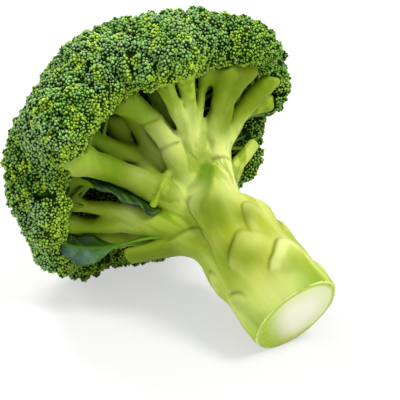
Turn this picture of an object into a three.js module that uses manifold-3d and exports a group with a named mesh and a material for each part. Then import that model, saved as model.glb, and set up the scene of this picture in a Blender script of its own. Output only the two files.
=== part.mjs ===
// A broccoli head as it is cut for sale, lying on its side on a table.
// A thick stalk with the bases of its trimmed leaves carries branches, and each branch carries one
// dome of flower buds. The domes press against each other and make up the crown.
// Units are millimetres. The head is described in its own frame: the stalk's cut face is centred
// on the origin and +Z runs up the stalk. layDown() then turns it onto its resting side.
import * as THREE from "three";
import { mergeVertices } from "three/addons/utils/BufferGeometryUtils.js";
import Module from "manifold-3d";

const wasm = await Module();
wasm.setup();

// Driving dimensions.
const GAP = 0.3; // clear space between neighbouring pieces
const STALK_RADIUS = 20;
const STALK_TOP = 66;
const UP_THE_STALK = new THREE.Vector3(0, 0, 1);
const FAN_POINT = new THREE.Vector3(0, 0, 50); // the domes face away from this point
const DOME_RISE = 0.86; // height of a dome above its middle, as a share of its radius
const DOME_DROP = 0.56; // depth of a dome below its middle, as a share of its radius
const LOBES = 9; // swellings on each dome
const LOBE_RISE = 0.08; // how far a lobe stands out, as a share of the dome's radius
const LOBE_EDGE = 0.75; // cosine of the angle at which a lobe starts to rise
const BRANCH_ENTRY = 0.2; // how far from a dome's middle its branch ends, as a share of its radius
const STALK_SIDES = 28;
const STALK_RINGS = 18;
const LIMB_SIDES = 8;
const BRANCH_RINGS = 7;
const STUB_RINGS = 5;
const LEAF_RINGS = 9;
const LEAF_STEM = 0.25; // share of a leaf's length before its blade opens
const LEAF_TIP = 0.94; // how far the blade closes again at its tip, as a share of a half turn
const LEAF_STEM_WIDTH = 0.22; // width of a leaf's stem, as a share of its blade's width
const LEAF_ROOT_DEPTH = 1.6; // thickness of a leaf at its root, as a multiple of its tip's

// The stalk's profile: radius at each height.
const STALK_PROFILE = [
  [STALK_RADIUS, 0],
  [STALK_RADIUS + 0.3, 8],
  [STALK_RADIUS - 0.3, 18],
  [STALK_RADIUS - 1, 30],
  [STALK_RADIUS - 1, 42],
  [STALK_RADIUS - 1.4, 51],
  [STALK_RADIUS - 5, 58],
  [STALK_RADIUS - 12, 64],
];

// Swollen bases of leaves that were trimmed flush: azimuth, height, half width, half height, rise.
const LEAF_BASES = [
  [357, 20, 13, 13, 3.4],
  [318, 31, 12, 13, 2.6],
  [262, 14, 12, 14, 2.0],
  [215, 34, 12, 13, 2.6],
  [160, 20, 12, 13, 2.8],
  [95, 30, 12, 14, 2.8],
  [55, 42, 12, 12, 0.8],
  [2, 48, 10, 10, 2.4],
];

// The domes: name, azimuth, distance from the axis, height, radius.
const DOMES = [
  ["top_front", 305, 26, 130, 29],
  ["top_right", 60, 24, 127, 28],
  ["top_low", 180, 24, 128, 28],
  ["crest", 2, 49, 110, 23],
  ["right_upper", 42, 47, 107, 23],
  ["right_back", 88, 36, 105, 19],
  ["back", 130, 41, 106, 22],
  ["low_back", 178, 46, 109, 22.5],
  ["low_front", 225, 53, 107, 23],
  ["left", 270, 55, 108, 25],
  ["front_left", 293, 54, 113, 23],
  ["front", 318, 55, 113, 25],
  ["upper", 338, 49, 114, 22],
  ["rim_crest", 20, 60, 99, 16],
  ["rim_right", 56, 48, 97, 12],
  ["rim_back", 105, 40, 92, 11],
  ["rim_tuft", 138, 44, 94, 12],
  ["rim_low_back", 170, 56, 99, 14],
  ["rim_low", 190, 54, 101, 14],
  ["rim_low_front", 209, 62, 101, 15],
  ["rim_low_left", 237, 62, 93, 15],
  ["rim_left", 262, 64, 92, 16],
  ["rim_front", 300, 70, 98, 18],
  ["rim_upper", 340, 64, 98, 17],
];

// The branches, one to each dome: the dome's name, then for each limb of the branch its radius at
// the root, its radius at the end and its route as azimuth, distance from the axis and height.
// The first limb ends in the dome. A side branch's route starts inside the branch it grows from.
const BRANCHES = [
  [
    "rim_left",
    [9.0, 5.2, [[285, 5, 46], [261, 18, 60], [257, 30, 71], [255, 40, 80], [254, 49, 85]]],
    [5.0, 4.0, [[259, 28, 69], [261, 36, 77], [263, 43, 85], [264, 48, 91]]],
  ],
  [
    "rim_front",
    [9.0, 5.6, [[290, 5, 50], [286, 15, 67], [286, 27, 78.5], [286, 38, 85.5], [287, 49, 90]]],
    [4.8, 3.8, [[287, 24, 78], [292, 29, 90], [296, 29, 102], [298, 26, 112]]],
  ],
  ["front", [9.0, 5.6, [[322, 3, 52], [320, 14, 71], [319, 28, 86], [318, 42, 99]]]],
  [
    "rim_upper",
    [7.6, 3.4, [[345, 3, 58], [347, 14, 76], [348, 25, 85], [348, 36, 90], [347, 48, 93]]],
    [4.6, 3.4, [[346, 18, 80], [341, 29, 84], [338, 39, 88], [337, 49, 94]]],
  ],
  [
    "rim_crest",
    [8.4, 5.6, [[30, 4, 54], [18, 15, 70], [14, 24, 80], [13, 34, 86.5], [13, 46, 91]]],
  ],
  ["rim_low_left", [7.0, 5.0, [[240, 5, 46], [236, 20, 64], [235, 33, 76], [236, 46, 86]]]],
  ["rim_low_front", [7.0, 5.0, [[214, 5, 48], [212, 19, 67], [210, 33, 81], [209, 46, 92]]]],
  ["rim_low", [6.5, 4.6, [[190, 5, 50], [190, 19, 69], [190, 31, 82], [190, 42, 93]]]],
  ["back", [8.5, 6.5, [[130, 4, 52], [130, 16, 74], [130, 26, 88], [130, 34, 97]]]],
  ["low_back", [8.0, 6.5, [[178, 4, 54], [179, 17, 76], [180, 28, 89], [179, 38, 99]]]],
  ["right_back", [7.0, 5.0, [[88, 4, 56], [88, 12, 77], [88, 20, 91], [88, 28, 99]]]],
  ["crest", [4.6, 2.8, [[350, 12, 77], [356, 24, 86], [0, 35, 91], [3, 43, 95]]]],
  [
    "right_upper",
    [5.6, 4.0, [[28, 18, 80], [36, 28, 88], [42, 36, 94], [43, 41, 100]]],
    [5.6, 4.4, [[28, 20, 80], [34, 31, 86], [37, 40, 89], [38, 49, 91], [39, 57, 93]]],
  ],
  ["top_front", [8.5, 7.0, [[305, 2, 58], [305, 7, 82], [305, 15, 104]]]],
  ["top_right", [7.5, 6.5, [[60, 2, 58], [60, 7, 84], [60, 14, 104]]]],
  ["top_low", [7.5, 6.5, [[190, 2, 58], [185, 7, 84], [180, 14, 104]]]],
  ["left", [5.6, 4.4, [[284, 22, 78], [283, 32, 85], [279, 41, 90], [274, 48, 96]]]],
  ["front_left", [5.5, 4.8, [[300, 6, 78], [297, 22, 92], [294, 36, 102]]]],
  ["upper", [5.0, 4.2, [[335, 12, 80], [337, 24, 94], [338, 36, 104]]]],
  ["low_front", [6.5, 5.0, [[226, 14, 70], [225, 27, 86], [225, 41, 97]]]],
  ["rim_right", [3.2, 2.4, [[42, 28, 92], [54, 38, 94], [58, 45, 95]]]],
  ["rim_back", [5.0, 3.8, [[112, 12, 66], [107, 22, 77], [105, 33, 87]]]],
  ["rim_tuft", [5.0, 3.8, [[138, 16, 70], [138, 27, 80], [138, 37, 89]]]],
  ["rim_low_back", [5.5, 4.4, [[168, 14, 67], [169, 28, 79], [170, 42, 90]]]],
];

// Leaf stalks that were cut short: name, half width and half thickness at root and end, route.
const LEAF_STUBS = [
  ["leaf_stub_front", [10, 5.5], [6.5, 4.2], [[322, 14, 40], [328, 19, 52], [334, 22.5, 66]]],
  ["leaf_stub_long", [8, 4], [6.5, 2.6], [[262, 13, 44], [248, 23, 56], [243, 34, 62], [241, 43, 67]]],
  ["leaf_stub_right", [5, 4], [3.4, 2.8], [[40, 9, 66], [56, 15, 73], [62, 25, 77], [63, 34, 81]]],
  ["leaf_stub_small", [2.8, 2.2], [2.4, 1.8], [[278, 14, 82], [282, 24, 76], [285, 33, 68]]],
  ["leaf_stub_back", [9, 5], [6, 3.6], [[150, 13, 38], [150, 20, 50], [150, 25, 60]]],
];

// Small leaves left on the head: name, greatest half width, half thickness, route.
const LEAVES = [
  [
    "leaf_low",
    8,
    0.8,
    [[228, 15, 56], [231, 22, 61], [234, 32, 66], [238, 42, 70], [242, 52, 76], [245, 60, 84]],
  ],
  ["leaf_inner", 6, 0.8, [[263, 14, 70], [264, 19, 77], [266, 28, 85], [268, 37, 91], [269, 44, 95]]],
];

// Colours of the finishes, each with its roughness.
const FINISHES = {
  stalk_skin: [0xc3d76b, 0.45],
  branch_skin: [0xaecb5c, 0.5],
  buds: [0x4f7a2e, 0.8],
  leaf: [0x3c6a2c, 0.55],
};

// A point from its azimuth in degrees, its distance from the axis and its height.
function around(azimuth, reach, height) {
  const turn = THREE.MathUtils.degToRad(azimuth);
  return new THREE.Vector3(reach * Math.cos(turn), reach * Math.sin(turn), height);
}

// A closed geometry as a manifold-3d solid.
function toSolid(geometry) {
  const bare = geometry.clone();
  bare.deleteAttribute("normal");
  bare.deleteAttribute("uv");
  const merged = mergeVertices(bare, 1e-4);
  const corners = merged.index.array;
  const kept = [];
  for (let i = 0; i < corners.length; i += 3) {
    const [a, b, c] = corners.slice(i, i + 3);
    if (a !== b && b !== c && c !== a) kept.push(a, b, c);
  }
  return new wasm.Manifold(
    new wasm.Mesh({
      numProp: 3,
      vertProperties: merged.attributes.position.array,
      triVerts: new Uint32Array(kept),
    }),
  );
}

// A manifold-3d solid as a geometry.
function toGeometry(solid) {
  const mesh = solid.getMesh();
  const positions = new Float32Array(mesh.numVert * 3);
  for (let i = 0; i < mesh.numVert; i++) {
    positions.set(mesh.vertProperties.subarray(i * mesh.numProp, i * mesh.numProp + 3), i * 3);
  }
  const geometry = new THREE.BufferGeometry();
  geometry.setAttribute("position", new THREE.BufferAttribute(positions, 3));
  geometry.setIndex(new THREE.BufferAttribute(mesh.triVerts, 1));
  geometry.computeVertexNormals();
  return geometry;
}

// Several solids as one.
const joined = (solids) => solids.reduce((a, b) => a.add(b));

// The biggest body of a solid that a cut may have left in several.
function biggest(solid) {
  return solid.decompose().reduce((a, b) => (a.volume() > b.volume() ? a : b));
}

// A limb along a route: a lathed rod with a blunt root and a flat end, bent along the route's curve.
// width and depth give its two half measures at a share of its length; grow adds to both of them.
function limb({ route, width, depth, rings, grow = 0 }) {
  const curve = new THREE.CatmullRomCurve3(route);
  const profile = [new THREE.Vector2(0, 0)];
  for (let i = 0; i <= rings; i++) profile.push(new THREE.Vector2(1, i / rings));
  profile.push(new THREE.Vector2(0, 1));
  const geometry = new THREE.LatheGeometry(profile, LIMB_SIDES);
  const places = geometry.attributes.position;
  const middle = new THREE.Vector3();
  const along = new THREE.Vector3();
  const side = new THREE.Vector3();
  const out = new THREE.Vector3();
  for (let i = 0; i < places.count; i++) {
    const share = places.getY(i);
    curve.getPointAt(share, middle);
    curve.getTangentAt(share, along);
    side.crossVectors(along, UP_THE_STALK).normalize();
    out.crossVectors(side, along);
    const lengthen = share === 1 ? grow : 0;
    middle
      .addScaledVector(side, places.getX(i) * (width(share) + grow))
      .addScaledVector(out, places.getZ(i) * (depth(share) + grow))
      .addScaledVector(along, lengthen);
    places.setXYZ(i, middle.x, middle.y, middle.z);
  }
  return toSolid(geometry);
}

// A straight run from one value to another.
const between = (from, to) => (share) => from + (to - from) * share;

// The stalk: a lathed column whose surface swells over each trimmed leaf base.
function makeStalk(grow = 0) {
  const rings = STALK_PROFILE.map(([radius, height]) => new THREE.Vector2(radius, height));
  const smooth = new THREE.SplineCurve(rings).getPoints(STALK_RINGS);
  const profile = [new THREE.Vector2(0, 0), ...smooth, new THREE.Vector2(0, STALK_TOP)];
  const geometry = new THREE.LatheGeometry(profile, STALK_SIDES);
  geometry.rotateX(Math.PI / 2);
  const places = geometry.attributes.position;
  for (let i = 0; i < places.count; i++) {
    const x = places.getX(i);
    const y = places.getY(i);
    const z = places.getZ(i);
    const radius = Math.hypot(x, y);
    if (radius < GAP) {
      places.setZ(i, z + (z > 0 ? grow : -grow));
      continue;
    }
    let rise = grow;
    for (const [azimuth, height, halfWidth, halfHeight, most] of LEAF_BASES) {
      const turn = Math.atan2(y, x) - THREE.MathUtils.degToRad(azimuth);
      const sideways = (Math.atan2(Math.sin(turn), Math.cos(turn)) * STALK_RADIUS) / halfWidth;
      const upwards = (z - height) / halfHeight;
      const away = Math.hypot(sideways, upwards);
      if (away < 1) rise += most * Math.cos((away * Math.PI) / 2);
    }
    places.setXY(i, (x * (radius + rise)) / radius, (y * (radius + rise)) / radius);
    if (z === 0) places.setZ(i, -grow);
  }
  return toSolid(geometry);
}

// One dome of buds: a sphere drawn out into lobes, rounded above its middle and shallow below it.
function makeDome(middle, radius, facing, twist) {
  const geometry = new THREE.IcosahedronGeometry(1, 3);
  const places = geometry.attributes.position;
  const lobes = [];
  for (let i = 0; i < LOBES; i++) {
    const level = 1 - (2 * i + 1) / LOBES;
    const turn = i * Math.PI * (3 - Math.sqrt(5)) + twist;
    const flat = Math.sqrt(1 - level * level);
    lobes.push(new THREE.Vector3(flat * Math.cos(turn), flat * Math.sin(turn), level));
  }
  const spot = new THREE.Vector3();
  for (let i = 0; i < places.count; i++) {
    spot.fromBufferAttribute(places, i).normalize();
    const nearest = Math.max(...lobes.map((lobe) => lobe.dot(spot)));
    const swell = THREE.MathUtils.smoothstep(nearest, LOBE_EDGE, 1) * LOBE_RISE;
    const up = spot.dot(facing);
    const tall = up > 0 ? DOME_RISE : DOME_DROP;
    spot.addScaledVector(facing, up * (tall - 1));
    spot.multiplyScalar(radius * (1 - LOBE_RISE / 2 + swell)).add(middle);
    places.setXYZ(i, spot.x, spot.y, spot.z);
  }
  return toSolid(geometry);
}

// Cuts a dome back to its own side of the plane between it and each neighbour.
function cutBack(solid, dome, others) {
  for (const other of others) {
    if (other === dome) continue;
    const away = other.middle.clone().sub(dome.middle);
    const apart = away.length();
    if (apart > dome.radius + other.radius) continue;
    away.normalize();
    const reach = (apart ** 2 + dome.radius ** 2 - other.radius ** 2) / (2 * apart);
    const plane = dome.middle.dot(away) + reach - GAP / 2;
    solid = solid.trimByPlane([-away.x, -away.y, -away.z], -plane);
  }
  return solid;
}

const domes = DOMES.map(([name, azimuth, reach, height, radius]) => {
  const middle = around(azimuth, reach, height);
  const facing = middle.clone().sub(FAN_POINT).normalize();
  return { name, middle, facing, radius };
});
const stalkSolid = makeStalk();
const stalkRoom = makeStalk(GAP);

// Each woody piece is cut clear of the stalk and of every piece made before it.
const pieces = [{ name: "stalk", solid: stalkSolid, finish: "stalk_skin" }];
const rooms = [stalkRoom];
function addLimbs(name, forks, finish) {
  let solid = joined(forks.map((fork) => limb(fork)));
  for (const room of rooms) solid = solid.subtract(room);
  pieces.push({ name, solid: biggest(solid), finish });
  rooms.push(joined(forks.map((fork) => limb({ ...fork, grow: GAP }))));
}

for (const [carried, ...forks] of BRANCHES) {
  const dome = domes.find(({ name }) => name === carried);
  const end = dome.middle.clone().addScaledVector(dome.facing, -BRANCH_ENTRY * dome.radius);
  addLimbs(
    `branch_${carried}`,
    forks.map(([root, tip, route], i) => ({
      route: route.map((place) => around(...place)).concat(i === 0 ? [end] : []),
      width: between(root, tip),
      depth: between(root, tip),
      rings: BRANCH_RINGS,
    })),
    "branch_skin",
  );
}
for (const [name, root, tip, places] of LEAF_STUBS) {
  const route = places.map((place) => around(...place));
  const width = between(root[0], tip[0]);
  const depth = between(root[1], tip[1]);
  addLimbs(name, [{ route, width, depth, rings: STUB_RINGS }], "stalk_skin");
}

// Each dome has sockets for the branches that run into it.
domes.forEach((dome, i) => {
  let solid = cutBack(makeDome(dome.middle, dome.radius, dome.facing, i), dome, domes);
  for (const room of rooms) solid = solid.subtract(room);
  pieces.push({ name: `floret_${dome.name}`, solid: biggest(solid), finish: "buds" });
});

// The leaves lie in what space is left between the other pieces.
const leafRooms = [...rooms];
domes.forEach((dome, i) => {
  leafRooms.push(makeDome(dome.middle, dome.radius + GAP, dome.facing, i));
});
const bladeShare = (share) => Math.max(share - LEAF_STEM, 0) / (1 - LEAF_STEM);
const opened = (share) => Math.sin(Math.PI * LEAF_TIP * bladeShare(share));
for (const [name, halfWidth, halfDepth, places] of LEAVES) {
  const route = places.map((place) => around(...place));
  const width = (share) => halfWidth * (LEAF_STEM_WIDTH + (1 - LEAF_STEM_WIDTH) * opened(share));
  const depth = between(halfDepth * LEAF_ROOT_DEPTH, halfDepth);
  let solid = limb({ route, width, depth, rings: LEAF_RINGS });
  for (const room of leafRooms) solid = solid.subtract(room);
  pieces.push({ name, solid: biggest(solid), finish: "leaf" });
}

// One mesh for each piece, placed at the middle of its own box.
const head = new THREE.Group();
for (const { name, solid, finish } of pieces) {
  const geometry = toGeometry(solid);
  geometry.computeBoundingBox();
  const centre = geometry.boundingBox.getCenter(new THREE.Vector3());
  geometry.translate(-centre.x, -centre.y, -centre.z);
  const [color, roughness] = FINISHES[finish];
  const mesh = new THREE.Mesh(geometry, new THREE.MeshStandardMaterial({ color, roughness, metalness: 0 }));
  mesh.name = name;
  mesh.position.copy(centre);
  head.add(mesh);
}

// Every corner of the group's meshes, in the group's own frame.
function cornersOf(group) {
  const corners = [];
  group.traverse((mesh) => {
    if (!mesh.isMesh) return;
    const places = mesh.geometry.attributes.position;
    for (let i = 0; i < places.count; i++) {
      corners.push(new THREE.Vector3().fromBufferAttribute(places, i).add(mesh.position));
    }
  });
  return corners;
}

// The point that the group's meshes balance on, as the mean of the tetrahedra between each face
// and the group's origin.
function balancePoint(group) {
  const sum = new THREE.Vector3();
  let volume = 0;
  group.traverse((mesh) => {
    if (!mesh.isMesh) return;
    const { position } = mesh.geometry.attributes;
    const faces = mesh.geometry.index.array;
    const corner = (i) => new THREE.Vector3().fromBufferAttribute(position, faces[i]).add(mesh.position);
    for (let i = 0; i < faces.length; i += 3) {
      const [a, b, c] = [corner(i), corner(i + 1), corner(i + 2)];
      const share = a.dot(b.clone().cross(c)) / 6;
      sum.addScaledVector(a.add(b).add(c), share / 4);
      volume += share;
    }
  });
  return sum.divideScalar(volume);
}

// Lays the head on its side, on the lowest edge of its cut face and on its crown. It leans over
// until the crown touches the table, then rolls about the line between the cut edge and the last
// point that touched, until its weight lies between two points of the crown.
function layDown(group) {
  const corners = cornersOf(group);
  const weight = balancePoint(group);
  const foot = new THREE.Vector3(-STALK_RADIUS, 0, 0);
  const crown = corners.filter((p) => p.z > STALK_TOP);
  const slopes = crown.map((p) => Math.atan2(foot.x - p.x, p.z));
  const slope = Math.max(...slopes);
  const turn = new THREE.Quaternion().setFromAxisAngle(new THREE.Vector3(0, 1, 0), slope - Math.PI / 2);
  const placed = (p) => p.clone().sub(foot).applyQuaternion(turn);
  let touching = crown[slopes.indexOf(slope)];
  let rolling = 0;
  for (;;) {
    const line = placed(touching).normalize();
    const sideways = new THREE.Vector3(-line.y, line.x, 0).normalize();
    const heavy = Math.sign(placed(weight).dot(sideways));
    if (rolling && heavy !== rolling) break;
    rolling = heavy;
    let least = Math.PI;
    for (const p of crown) {
      const from = placed(p);
      const out = heavy * from.dot(sideways);
      const roll = Math.atan2(from.z, out);
      const onTheLine = out < GAP;
      if (onTheLine || roll > least) continue;
      least = roll;
      touching = p;
    }
    turn.premultiply(new THREE.Quaternion().setFromAxisAngle(line, -heavy * least));
  }
  group.quaternion.copy(turn);
  const box = new THREE.Box3().setFromPoints(corners.map((p) => p.clone().applyQuaternion(turn)));
  const centre = box.getCenter(new THREE.Vector3());
  group.position.set(-centre.x, -centre.y, -box.min.z);
  return new THREE.Group().add(group);
}

const broccoli = layDown(head);
export default broccoli;
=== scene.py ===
"""A broccoli head lying on its side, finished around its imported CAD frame.

The stalk, the branches and the cut leaf stalks become one grown piece with a smooth skin. Each floret
becomes a lumpy core with thin bud stalks below it and a coat of flower buds on top. The small leaves
become thin curled sheets. Shapes are worked out in millimetres and turned into metres when a mesh
is made. Most places are given around the stalk: azimuth 0 faces up, reach is the distance from the
stalk's axis and height runs from the cut. Whatever is random has a fixed seed.
"""

import math

import bpy
import numpy as np
import openvdb as vdb
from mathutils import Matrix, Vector, kdtree


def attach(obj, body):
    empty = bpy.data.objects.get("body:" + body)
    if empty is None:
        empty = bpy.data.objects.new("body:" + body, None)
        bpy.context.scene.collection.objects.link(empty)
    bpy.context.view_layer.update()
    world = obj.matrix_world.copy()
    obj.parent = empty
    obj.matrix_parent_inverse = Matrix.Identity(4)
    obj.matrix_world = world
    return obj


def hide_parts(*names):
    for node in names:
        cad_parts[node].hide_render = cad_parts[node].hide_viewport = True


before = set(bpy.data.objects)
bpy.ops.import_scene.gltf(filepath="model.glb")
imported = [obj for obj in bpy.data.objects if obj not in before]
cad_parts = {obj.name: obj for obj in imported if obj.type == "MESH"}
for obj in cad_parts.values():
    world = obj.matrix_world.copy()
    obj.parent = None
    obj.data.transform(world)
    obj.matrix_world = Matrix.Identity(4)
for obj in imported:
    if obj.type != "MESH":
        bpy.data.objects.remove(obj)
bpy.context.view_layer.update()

MM = 0.001  # one millimetre in metres
FAR, TINY = 1e9, 1e-9  # farther and nearer than anything is
FLOOR_CLEARANCE = 0.2  # nothing reaches lower than this above the surface that the head lies on

# The grown stem: stalk, branches and leaf stalks. A softening is a blur's variance in square millimetres.
STEM_PITCH = 0.87  # from place to place of its grid
STEM_REACH = 7.0  # how far from its surface distances are kept
STEM_SKIN = 5.0  # how near to its surface places are changed by its details
FORK_HEIGHTS = (60, 76)  # forks grow finer from the first height to the second
STALK_FILLET, BRANCH_FILLET = 4.5, 1.5  # how widely forks are filled below and above those heights
STUB_FILLET = 2.0  # how widely the corner between a leaf stalk and the stem is filled
BRANCH_TRIM = 0.5  # how much slimmer the branches are than their CAD nodes
BRANCH_END_ROUNDING = 1.0  # of the edges where the branches end inside the crown
STEM_SOFTENING = 0.5  # of the forks
DETAIL_SOFTENING = 0.35  # of the edges, cracks and leaf stalks that are added after it

# The cuts.
CUT_ROUNDING = 0.5  # of a cut's rim
CUT_FILLET = 1.0  # how widely the stalk is joined to the rod that squares its end
CUT_SWELL = 0.4  # how far the middle of the stalk's cut face swells
BROWN_SIDE = 165  # the azimuth of the side of the stalk's cut that has browned
TIP_TRIM = 0.7  # how much shorter the leaf stalks are than their CAD nodes
GREEN_TIPS = (57, 61)  # their cuts are pale below these heights and green above
CUT_THICKNESS = 0.9  # the skin this near to the plane of a leaf stalk's cut has the cut's colour
CUT_MARGIN = 8  # and no farther than this from the leaf stalk's box

# The stem's skin.
SHADED_SIDE = 235  # the azimuth of the stalk's lower side, whose skin is painted darker and yellower as shade
BRANCH_COLOURS = (44, 72)  # the skin turns from the stalk's to the branches' between these heights
END_COLOURS = (34, 58)  # and to that of the branches' ends between these distances from APEX, greener and darker: partly their own colour, partly painted shade under the crown
GRAIN_START, GRAIN_SPREAD = 42, 26  # the lengthwise lines spread apart above this height, and how slowly
GRAIN_STRETCH = 9  # how much longer than wide the lines are
# The hollows between branches get painted shade: the skin is darkened where the space around it is filled.
HOLLOW_SHADE_STEP, HOLLOW_SHADE_SPREAD, HOLLOW_SHADE_PITCH = 6.0, 16.0, 2.0  # how the hollows between branches are found
STALK_WAVES = {"height": 0.3, "wavelength": 13, "squeeze": 0.45, "seed": 11}  # slight unevenness
RIDGES = {"height": 0.1, "wavelength": 4.5, "squeeze": 0.12, "seed": 12}  # long fine ridges
RIDGE_START = 12  # the height that the ridges reach their full depth at

# The ends of a branch's limbs, found on its CAD node.
LIMB_END_DEPTH = 7.5  # they end less than this nearer to APEX than the branch's longest limb
LIMB_END_SPACING = 8.0  # and are at least this far apart
LIMB_TIP = 4.0  # the length of a limb's tip, whose middle is the limb's end
LIMB_BACK = 5.0  # the corners farther back than this show the way that the limb runs
LIMB_CORNERS = 8  # how many of them are used

# The trumpets that limbs widen into before they meet their florets.
TRUMPET_SPREAD = 0.34  # all of a branch's trumpets at their widest, as a share of its floret's half width
TRUMPET_TAPER = 0.35  # a trumpet's radius at its start, as a share of its radius at its end
TRUMPET_LENGTH = 9.0  # how far below the floret's underside it starts
TRUMPET_OVERLAP = 1.0  # how far it runs into the floret
TRUMPET_FILLET = 2.5  # how widely the corner between a limb and its trumpet is filled

# The crown: florets, and the lobes and clusters that their buds make.
CROWN_PITCH = 1.1  # from place to place of its grid
CROWN_REACH = 13.0  # how far from its surface distances are kept
CROWN_FILLET = 11.0  # how widely the valleys between florets are filled
CROWN_SOFTENING = 2.5  # of the whole crown
FLORET_GAP = 0.3  # between neighbouring florets' cores
FAN_HEIGHT = 50.0  # the florets face away from this height on the stalk's axis
FLORET_WIDTH = 90  # the percentage of a floret's corners that lie within its half width
SMALL_FLORET = 19.0  # half the width of the widest floret that counts as small
THIN_FLORET, THICK_FLORET = 24.0, 31.0  # a small and a large floret, from its top to its underside
OWN_THICKNESS = {"floret_right_upper": 27.0}  # for a floret that is neither
UNDERSIDE_ROUNDING = 4.0  # of the rim where a floret's top meets its underside
NO_UNDERSIDE = 1000.0  # the distance of an underside from APEX where no floret is near
ROOTING = 3.5  # how far a branch runs into its floret's underside
UNDERSIDE_DEPTH = 3.5  # a core's corners less than this above its underside belong to the underside
ROOT_DEPTH = 2.5  # a branch may run on wherever it is this deep inside the crown
LOBE_SPACING, LOBE_RISE, LOBE_SLOPE = 10.0, 1.3, 6.0  # a lobe's slope is measured across its valley
CLUSTER_SPACING, CLUSTER_RISE = 4.2, 2.4
CLUSTER_WIDTH = 0.62  # the radius of a cluster's dome, as a share of the spacing

# The buds and the thin stalks below them.
BUD_SPACING = 1.06  # the least distance between two buds
BUD_SIZE, BUD_SIZES = 1.36, (0.66, 1.25)  # a bud's width, and the smallest and largest as shares of it
BUD_LENGTH = 1.25  # a bud's length as a share of its width
BUD_DENSITY = 4e6  # how many places for a bud are tried on each square metre
BUD_LEAN = 0.35  # how far a bud may lean, in radians
BUD_INSET = 0.9  # how far under a floret's CAD surface its buds are rooted
BUDS_BETWEEN, BUDS_BELOW = 0.4, 0.12  # the shares of them between clusters and on the underside
LIT_CROWN_SIDE = 270  # the azimuth of the crown's lit side: its buds are painted bluest, as sheen, and those opposite darker, as shade
RIM_DEPTH = 11  # how far above a floret's underside its rim of young buds reaches
BUD_STALKS = 14  # for each floret
BUD_STALK_TURN = 2.4  # from one stalk to the next around a floret, in radians: about the golden angle
BUD_STALK_SPREAD, FINE_STALK_SPREAD = 1.02, 0.7  # how far out they end, as a share of the half width
BUD_STALK_RADII = (1.2, 0.7)  # at the start and at the end
BUD_STALK_START = 0.8  # how far out from the branch's middle they start
BUD_STALK_END = 1.2  # how far they run into the floret
BUD_STALK_COVER = 0.8  # a stalk is left out if its end isn't this deep inside the crown
BUD_STALK_BOW = 0.12  # how far they bow inwards, as a share of how far out they end
BUD_STALK_SIDES = 6
BUD_STALK_SWAY = 0.3  # how far one may stand from its even place around the floret, in radians
BUD_STALK_SIZES = (0.8, 1.2)  # the thinnest and the thickest, as shares of the radii
# A rod's corners and a floret's bud stalks are counted from a side that is square to these directions.
ROD_START, FAN_START = (0.3, 0.5, 0.8), (0.2, 0.9, 0.4)

# The camera, around the point on the stalk's axis at TARGET_HEIGHT, in degrees and millimetres.
TARGET_HEIGHT = 60.0
CAMERA_AZIMUTH = 52.53
CAMERA_ELEVATION = 21.68
CAMERA_ROLL = 0.73
CAMERA_DISTANCE = 560.0
CAMERA_LENS = 116.4
CAMERA_LIMIT = 20  # how far the camera sees, in metres
AIM_RIGHT, AIM_UP = -7.4, 6.2  # how far right of that point and above it the camera aims

# The lamps: azimuth from the camera's, elevation, distance and width in metres, and power in watts.
LAMPS = {
    "back_light": (-150, 54, 1.3, 0.7, 15),
    "side_light": (60, 56, 1.3, 0.5, 13),
    "left_light": (-95, 36, 1.5, 0.6, 4),
    "front_light": (-45, 32, 1.5, 0.9, 3.8),
}
SKY_STRENGTH = 0.62
WHITE = (1, 1, 1, 1)
FLOOR_SIZE = 8  # in metres
FLOOR_LIT = 0.72  # the floor's brightness to the object, under light
FLOOR_SEEN = 0.34  # the floor's brightness to the camera, under light
FLOOR_GLOW, FLOOR_FAR_GLOW = 0.55, 0.9  # its brightness to the camera without light, near and far
FLOOR_GLOW_RISE = (0.4, 1.2)  # in metres from the head, where the glow rises from the one to the other
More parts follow.
